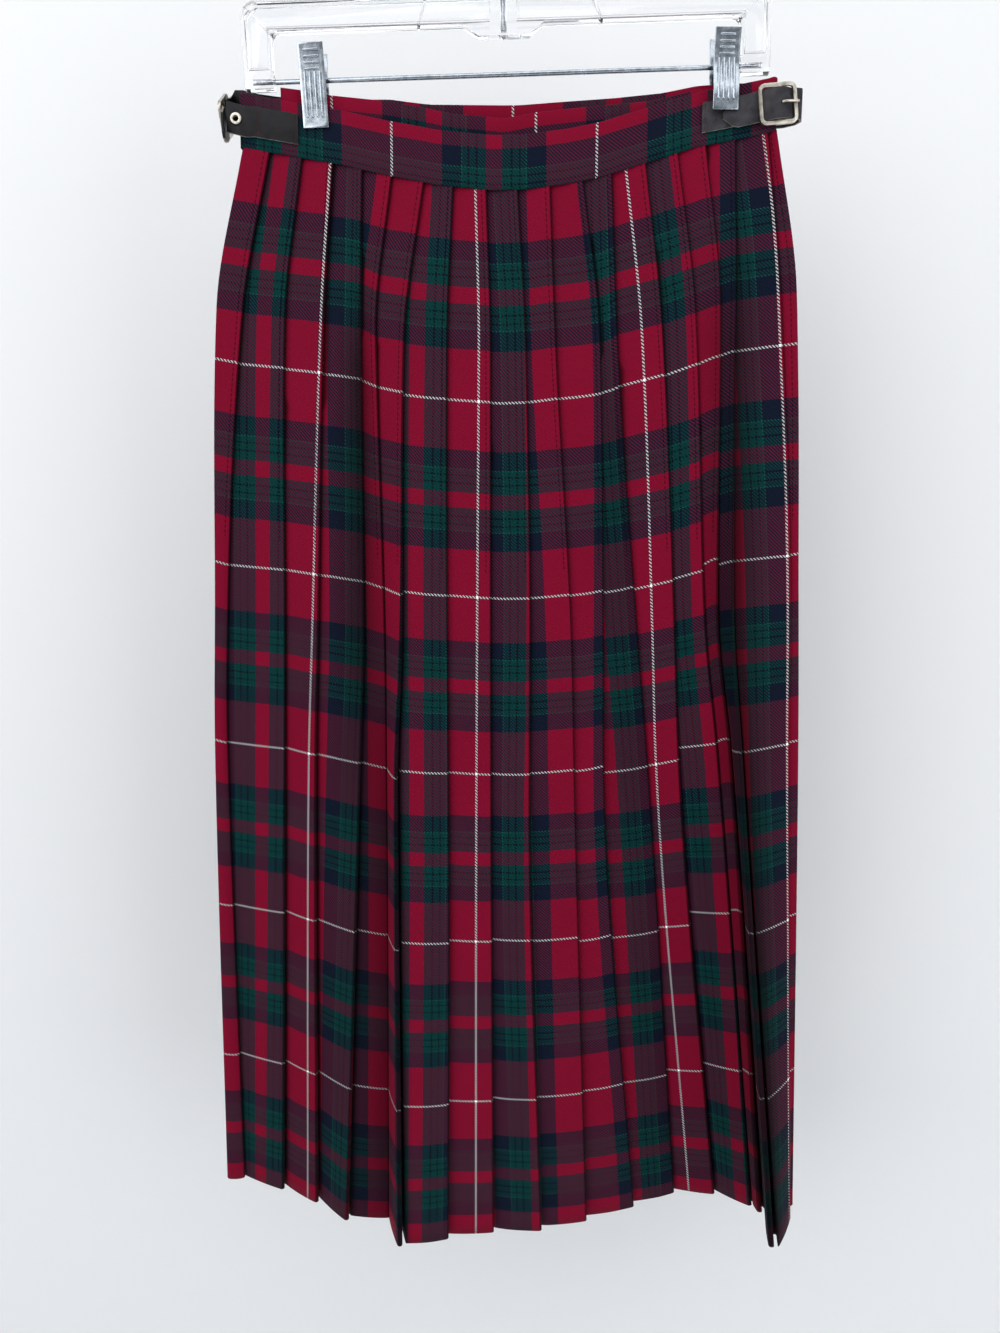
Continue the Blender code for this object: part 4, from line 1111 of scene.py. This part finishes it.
# %% [markdown]
# ## Rounded edges
# Nothing real has a razor edge, and it is the light caught on rounded edges that makes metal, leather and
# plastic read as solid. A copy of each solid is joined up into clean faces and bevelled. On leather the
# narrow faces along the strap show the raw, paler cut edge.

# %% Finished copies
EDGE_ANGLE = math.radians(50.0)
SMOOTH_ANGLE = math.radians(42.0)
FLAT_ANGLE = math.radians(1.0)
MERGE_DISTANCE = 0.00001
LEATHER_ROUNDING = 0.00035
# A face is a cut edge of the leather where its normal points up or down at least this much
CUT_FACE_UP = 0.75


def round_edges(piece, width, segments, angle=EDGE_ANGLE):
    """Bevels a piece's edges."""
    rounding = piece.modifiers.new("rounding", "BEVEL")
    rounding.width = width
    rounding.segments = segments
    rounding.angle_limit = angle
    only(piece)
    bpy.ops.object.modifier_apply(modifier=rounding.name)


def finished_copy(node, edge, material, slot, segments=2):
    """A copy of a solid with rounded edges and its own finish, which stands for the solid."""
    piece = bpy.data.objects.new(node + "_finished", bpy.data.objects[node].data.copy())
    bpy.context.scene.collection.objects.link(piece)
    piece.data.materials.clear()
    piece.data.materials.append(material)
    only(piece)
    bpy.ops.object.mode_set(mode="EDIT")
    bpy.ops.mesh.select_all(action="SELECT")
    bpy.ops.mesh.remove_doubles(threshold=MERGE_DISTANCE)
    bpy.ops.mesh.dissolve_limited(angle_limit=FLAT_ANGLE)
    bpy.ops.object.mode_set(mode="OBJECT")
    round_edges(piece, edge, segments)
    bpy.ops.object.shade_smooth_by_angle(angle=SMOOTH_ANGLE)
    stands_for(piece, node)
    print(piece.name, "faces", len(piece.data.polygons))
    return piece


def show_cut_edges(piece):
    """Gives the narrow top and bottom faces of a strap the raw leather's finish."""
    piece.data.materials.append(CUT_EDGE)
    for face in piece.data.polygons:
        if abs(face.normal.z) > CUT_FACE_UP:
            face.material_index = 1


# node, size of its rounding, its finish and its slot
ROUNDED = (
    ("hanger_hook", 0.0004, STEEL, "steel"), ("hanger_rod", 0.0003, STEEL, "steel"),
    ("clip_left_spring", 0.0005, STEEL, "steel"), ("clip_right_spring", 0.0005, STEEL, "steel"),
    ("right_buckle_frame", 0.0006, NICKEL, "nickel"), ("left_buckle_frame", 0.0006, NICKEL, "nickel"),
    ("right_buckle_tongue", 0.0003, NICKEL, "nickel"), ("left_buckle_tongue", 0.0003, NICKEL, "nickel"),
    ("left_eyelet", 0.0003, NICKEL, "nickel"))
for row in ROUNDED:
    finished_copy(*row, segments=3)
# The left tab and strap take the shaded copies of the leather, painted darker as shade
for node, material in (("right_tab", LIT_LEATHER), ("right_strap", LIT_LEATHER),
                       ("left_tab", SHADED_TAB_LEATHER), ("left_strap", SHADED_LEATHER)):
    show_cut_edges(finished_copy(node, LEATHER_ROUNDING, material, "leather"))

# %% [markdown]
# ## Stitches on the leather
# The tabs are sewn through the waistband with a row of thread at each end. One stitch is a short rounded
# length of thread, half sunk in the leather, and it is copied down the row.

# %% Stitches
STRAP_HEIGHT = 19.5
STRAP_FACE = 2.9
STITCH_LENGTH = 2.3
STITCH_THICK = 0.32
STITCH_COUNT = 6
STITCH_MARGIN = 2.0
# name of each row, and its place across
STITCH_ROWS = (
    ("right_tab_seam_outer", 138.6), ("right_tab_seam_inner", 155.5),
    ("left_tab_seam_outer", -138.8), ("left_tab_seam_inner", -163.6))


def joined(name, parts, material):
    """Joins parts into one smooth piece whose place is in its mesh."""
    bpy.ops.object.select_all(action="DESELECT")
    for part in parts:
        part.select_set(True)
    bpy.context.view_layer.objects.active = parts[0]
    bpy.ops.object.join()
    piece = bpy.context.object
    bpy.ops.object.transform_apply(location=True, rotation=True, scale=True)
    piece.name = name
    piece.data.materials.clear()
    piece.data.materials.append(material)
    bpy.ops.object.shade_smooth_by_angle(angle=SMOOTH_ANGLE)
    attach(piece, "root")
    return piece


def rod(length, radius, place, sides, turn=0.0):
    """A plain rod along Z at a place in millimetres, or turned about Y."""
    bpy.ops.object.select_all(action="DESELECT")
    bpy.ops.mesh.primitive_cylinder_add(
        vertices=sides, radius=radius * MM, depth=length * MM, rotation=(0.0, turn, 0.0),
        location=[value * MM for value in place])
    return bpy.context.object


def stitch_row(name, x):
    """A row of stitches down a tab at a distance across."""
    parts = []
    pitch = (STRAP_HEIGHT - STITCH_MARGIN) / STITCH_COUNT
    for number in range(STITCH_COUNT):
        share = 0.5 + (number + 0.5 - STITCH_COUNT / 2) * pitch / BAND_HEIGHT
        height = seam_height("near", x) + share * BAND_HEIGHT
        stitch = rod(STITCH_LENGTH, STITCH_THICK, (x, layer_depth("near", x, share) - STRAP_FACE, height), 8)
        bpy.ops.object.mode_set(mode="EDIT")
        bpy.ops.mesh.select_all(action="SELECT")
        bpy.ops.mesh.bevel(offset=STITCH_THICK / 2 * MM, segments=2, affect="EDGES")
        bpy.ops.object.mode_set(mode="OBJECT")
        parts.append(stitch)
    joined(name, parts, THREAD)


for name, x in STITCH_ROWS:
    stitch_row(name, x)
print("stitch rows:", len(STITCH_ROWS))

# %% [markdown]
# ## The spring clips
# A clip is two plates of pressed steel on a spring. Each plate is bent from flat sheet, so it starts as a
# plane whose lower edge is extruded down the bends. Its border stands proud of an inset panel, four bars
# are pressed out across the thumb grip and four flutes run down the jaw to a flat lip.

# %% Clips
CLIP_WIDTH = 17.2
CLIP_SHEET = 1.2
CLIP_ROUNDING = 0.35
PANEL_BORDER = 1.7
# A plate's inner face stands this far out at its top, over the spring and at the knee of a narrow jaw
TOP_FACE = 8.8
SPRING_FACE = 5.9
KNEE_FACE = 5.3
# It is straight this far up and down from the spring, its knee is this far down and its lip this high
SPRING_REACH = 4.5
KNEE_DROP = 15.5
LIP_HEIGHT = 8.0
# across, height, tilt in degrees, reach above and below, and where the front and rear jaws stand
CLIPS = {
    "left": (-126.0, -111.0, -2.4, 20.5, 31.5, 4.9, 5.0),
    "right": (151.8, -102.2, 0.5, 21.0, 30.4, 9.3, 5.0)}
BAR_HEIGHTS = (4.6, 8.4, 12.0, 15.6)
BAR_LENGTH = 10.5
BAR_THICK = 0.95
FLUTE_PLACES = (-5.1, -1.7, 1.7, 5.1)
FLUTE_TOP = 3.4
FLUTE_FOOT = 6.2
FLUTE_THICK = 1.0
# The flutes lean as the plate does between this height and their foot
FLUTE_LEAN_TOP = -5.0
# Share of a rib's radius that its domed end takes up
DOME_SHARE = 0.8


def bent_plate(profile):
    """A sheet bent along a profile of distances out and heights, before it has a thickness."""
    (out_top, top), (out_low, low) = profile[:2]
    bpy.ops.object.select_all(action="DESELECT")
    bpy.ops.mesh.primitive_plane_add(size=1.0)
    sheet = bpy.context.object
    sheet.scale = (CLIP_WIDTH * MM, math.hypot(out_top - out_low, top - low) * MM, 1.0)
    sheet.rotation_euler = (math.atan2(top - low, out_low - out_top), 0.0, 0.0)
    sheet.location = (0.0, -(out_top + out_low) / 2 * MM, (top + low) / 2 * MM)
    bpy.ops.object.transform_apply(location=True, rotation=True, scale=True)
    bpy.ops.object.mode_set(mode="EDIT")
    for (out_a, z_a), (out_b, z_b) in zip(profile[1:], profile[2:]):
        bpy.ops.mesh.select_all(action="DESELECT")
        work = bmesh.from_edit_mesh(sheet.data)
        foot = min(vert.co.z for vert in work.verts)
        for vert in work.verts:
            vert.select = vert.co.z - foot < 1e-5
        work.select_flush(True)
        bmesh.update_edit_mesh(sheet.data)
        bpy.ops.mesh.extrude_region_move(
            TRANSFORM_OT_translate={"value": (0.0, (out_a - out_b) * MM, (z_b - z_a) * MM)})
    bpy.ops.mesh.select_all(action="SELECT")
    bpy.ops.mesh.normals_make_consistent(inside=False)
    bpy.ops.mesh.inset(thickness=PANEL_BORDER * MM, depth=0.0, use_even_offset=True)
    bpy.ops.object.mode_set(mode="OBJECT")
    return sheet


def rounded_bar(length, radius, place, turn=0.0):
    """A pressed rib: a rod with domed ends, along Z unless it is turned."""
    bar = rod(length, radius, place, 16, turn)
    round_edges(bar, radius * DOME_SHARE * MM, 4)
    return bar


def face_out(profile, height):
    """How far out a plate's inner face stands at a height."""
    return float(np.interp(-height, [-z for _, z in profile], [out for out, _ in profile]))


def pressed_sheet(profile):
    """The bent sheet with its thickness and rounded edges."""
    sheet = bent_plate(profile)
    wall = sheet.modifiers.new("wall", "SOLIDIFY")
    wall.thickness = CLIP_SHEET * MM
    wall.offset = 1.0
    only(sheet)
    bpy.ops.object.modifier_apply(modifier=wall.name)
    round_edges(sheet, CLIP_ROUNDING * MM, 3)
    return sheet


def clip_plate(side, face, jaw):
    """One plate, front or rear, with its panel, bars and flutes. Jaw is how far out its lip stands."""
    across, height, tilt, up, down = CLIPS[side][:5]
    knee = jaw if jaw > SPRING_FACE else (jaw + KNEE_FACE) / 2
    profile = [
        (TOP_FACE, up), (SPRING_FACE, SPRING_REACH), (SPRING_FACE, -SPRING_REACH), (knee, -KNEE_DROP),
        (jaw, LIP_HEIGHT - down), (jaw, -down)]
    parts = [pressed_sheet(profile)]
    for below in BAR_HEIGHTS:
        out = face_out(profile, up - below) + CLIP_SHEET
        parts.append(rounded_bar(BAR_LENGTH, BAR_THICK, (0.0, -out, up - below), turn=math.radians(90.0)))
    foot = FLUTE_FOOT - down
    middle = (FLUTE_TOP + foot) / 2
    out = face_out(profile, middle) + CLIP_SHEET
    lean = (face_out(profile, foot) - face_out(profile, FLUTE_LEAN_TOP)) / (foot - FLUTE_LEAN_TOP)
    for x in FLUTE_PLACES:
        flute = rounded_bar(FLUTE_TOP - foot, FLUTE_THICK, (x, -out, middle))
        for vert in flute.data.vertices:
            vert.co.y -= lean * vert.co.z
        parts.append(flute)
    piece = joined(f"clip_{side}_{face}_plate", parts, STEEL)
    place = Matrix.Translation((across * MM, 0.0, height * MM)) @ Matrix.Rotation(math.radians(tilt), 4, "Y")
    if face == "rear":
        place = place @ Matrix.Rotation(math.pi, 4, "Z")
    piece.data.transform(place)
    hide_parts(f"clip_{side}_{face}")
    print(piece.name, "faces", len(piece.data.polygons))


for side, row in CLIPS.items():
    clip_plate(side, "front", row[5])
    clip_plate(side, "rear", row[6])

# %% [markdown]
# ## The clear hanger
# The hanger is one clear moulding with thick rims, a thin web between them and slanting ribs that stiffen
# it. Light shows it only along its rims and ribs, so those carry the rounding.

# %% Hanger
HANGER_TILT = math.radians(1.8)
RIB_THICK = 1.5
RIB_DEPTH = 5.4
RIB_ROUNDING = 0.45
FRAME_ROUNDING = 0.0007
# across and height of each rib's two ends, before the hanger is tilted
RIBS = (
    (-51.6, -58.5, -57.4, -75.5), (58.0, -58.5, 66.2, -75.5), (159.5, -78.0, 175.5, -60.5),
    (-156.5, -78.0, -172.5, -60.5))


def hanger_rib(x_a, z_a, x_b, z_b):
    """A rib between two points of the frame."""
    length = math.hypot(x_b - x_a, z_b - z_a)
    bpy.ops.object.select_all(action="DESELECT")
    bpy.ops.mesh.primitive_cube_add(size=1.0)
    rib = bpy.context.object
    rib.scale = (length * MM, RIB_DEPTH * MM, RIB_THICK * MM)
    bpy.ops.object.transform_apply(location=True, rotation=True, scale=True)
    round_edges(rib, RIB_ROUNDING * MM, 3)
    lean = -math.atan2(z_b - z_a, x_b - x_a)
    middle = Vector(((x_a + x_b) / 2, 0.0, (z_a + z_b) / 2)) * MM
    rib.data.transform(Matrix.Rotation(-HANGER_TILT, 4, "Y") @ Matrix.Translation(middle)
                       @ Matrix.Rotation(lean, 4, "Y"))
    return rib


finished_copy("hanger_frame", FRAME_ROUNDING, CLEAR, "clear", segments=3)
joined("hanger_ribs", [hanger_rib(*row) for row in RIBS], CLEAR)
print("hanger ribs:", len(RIBS))
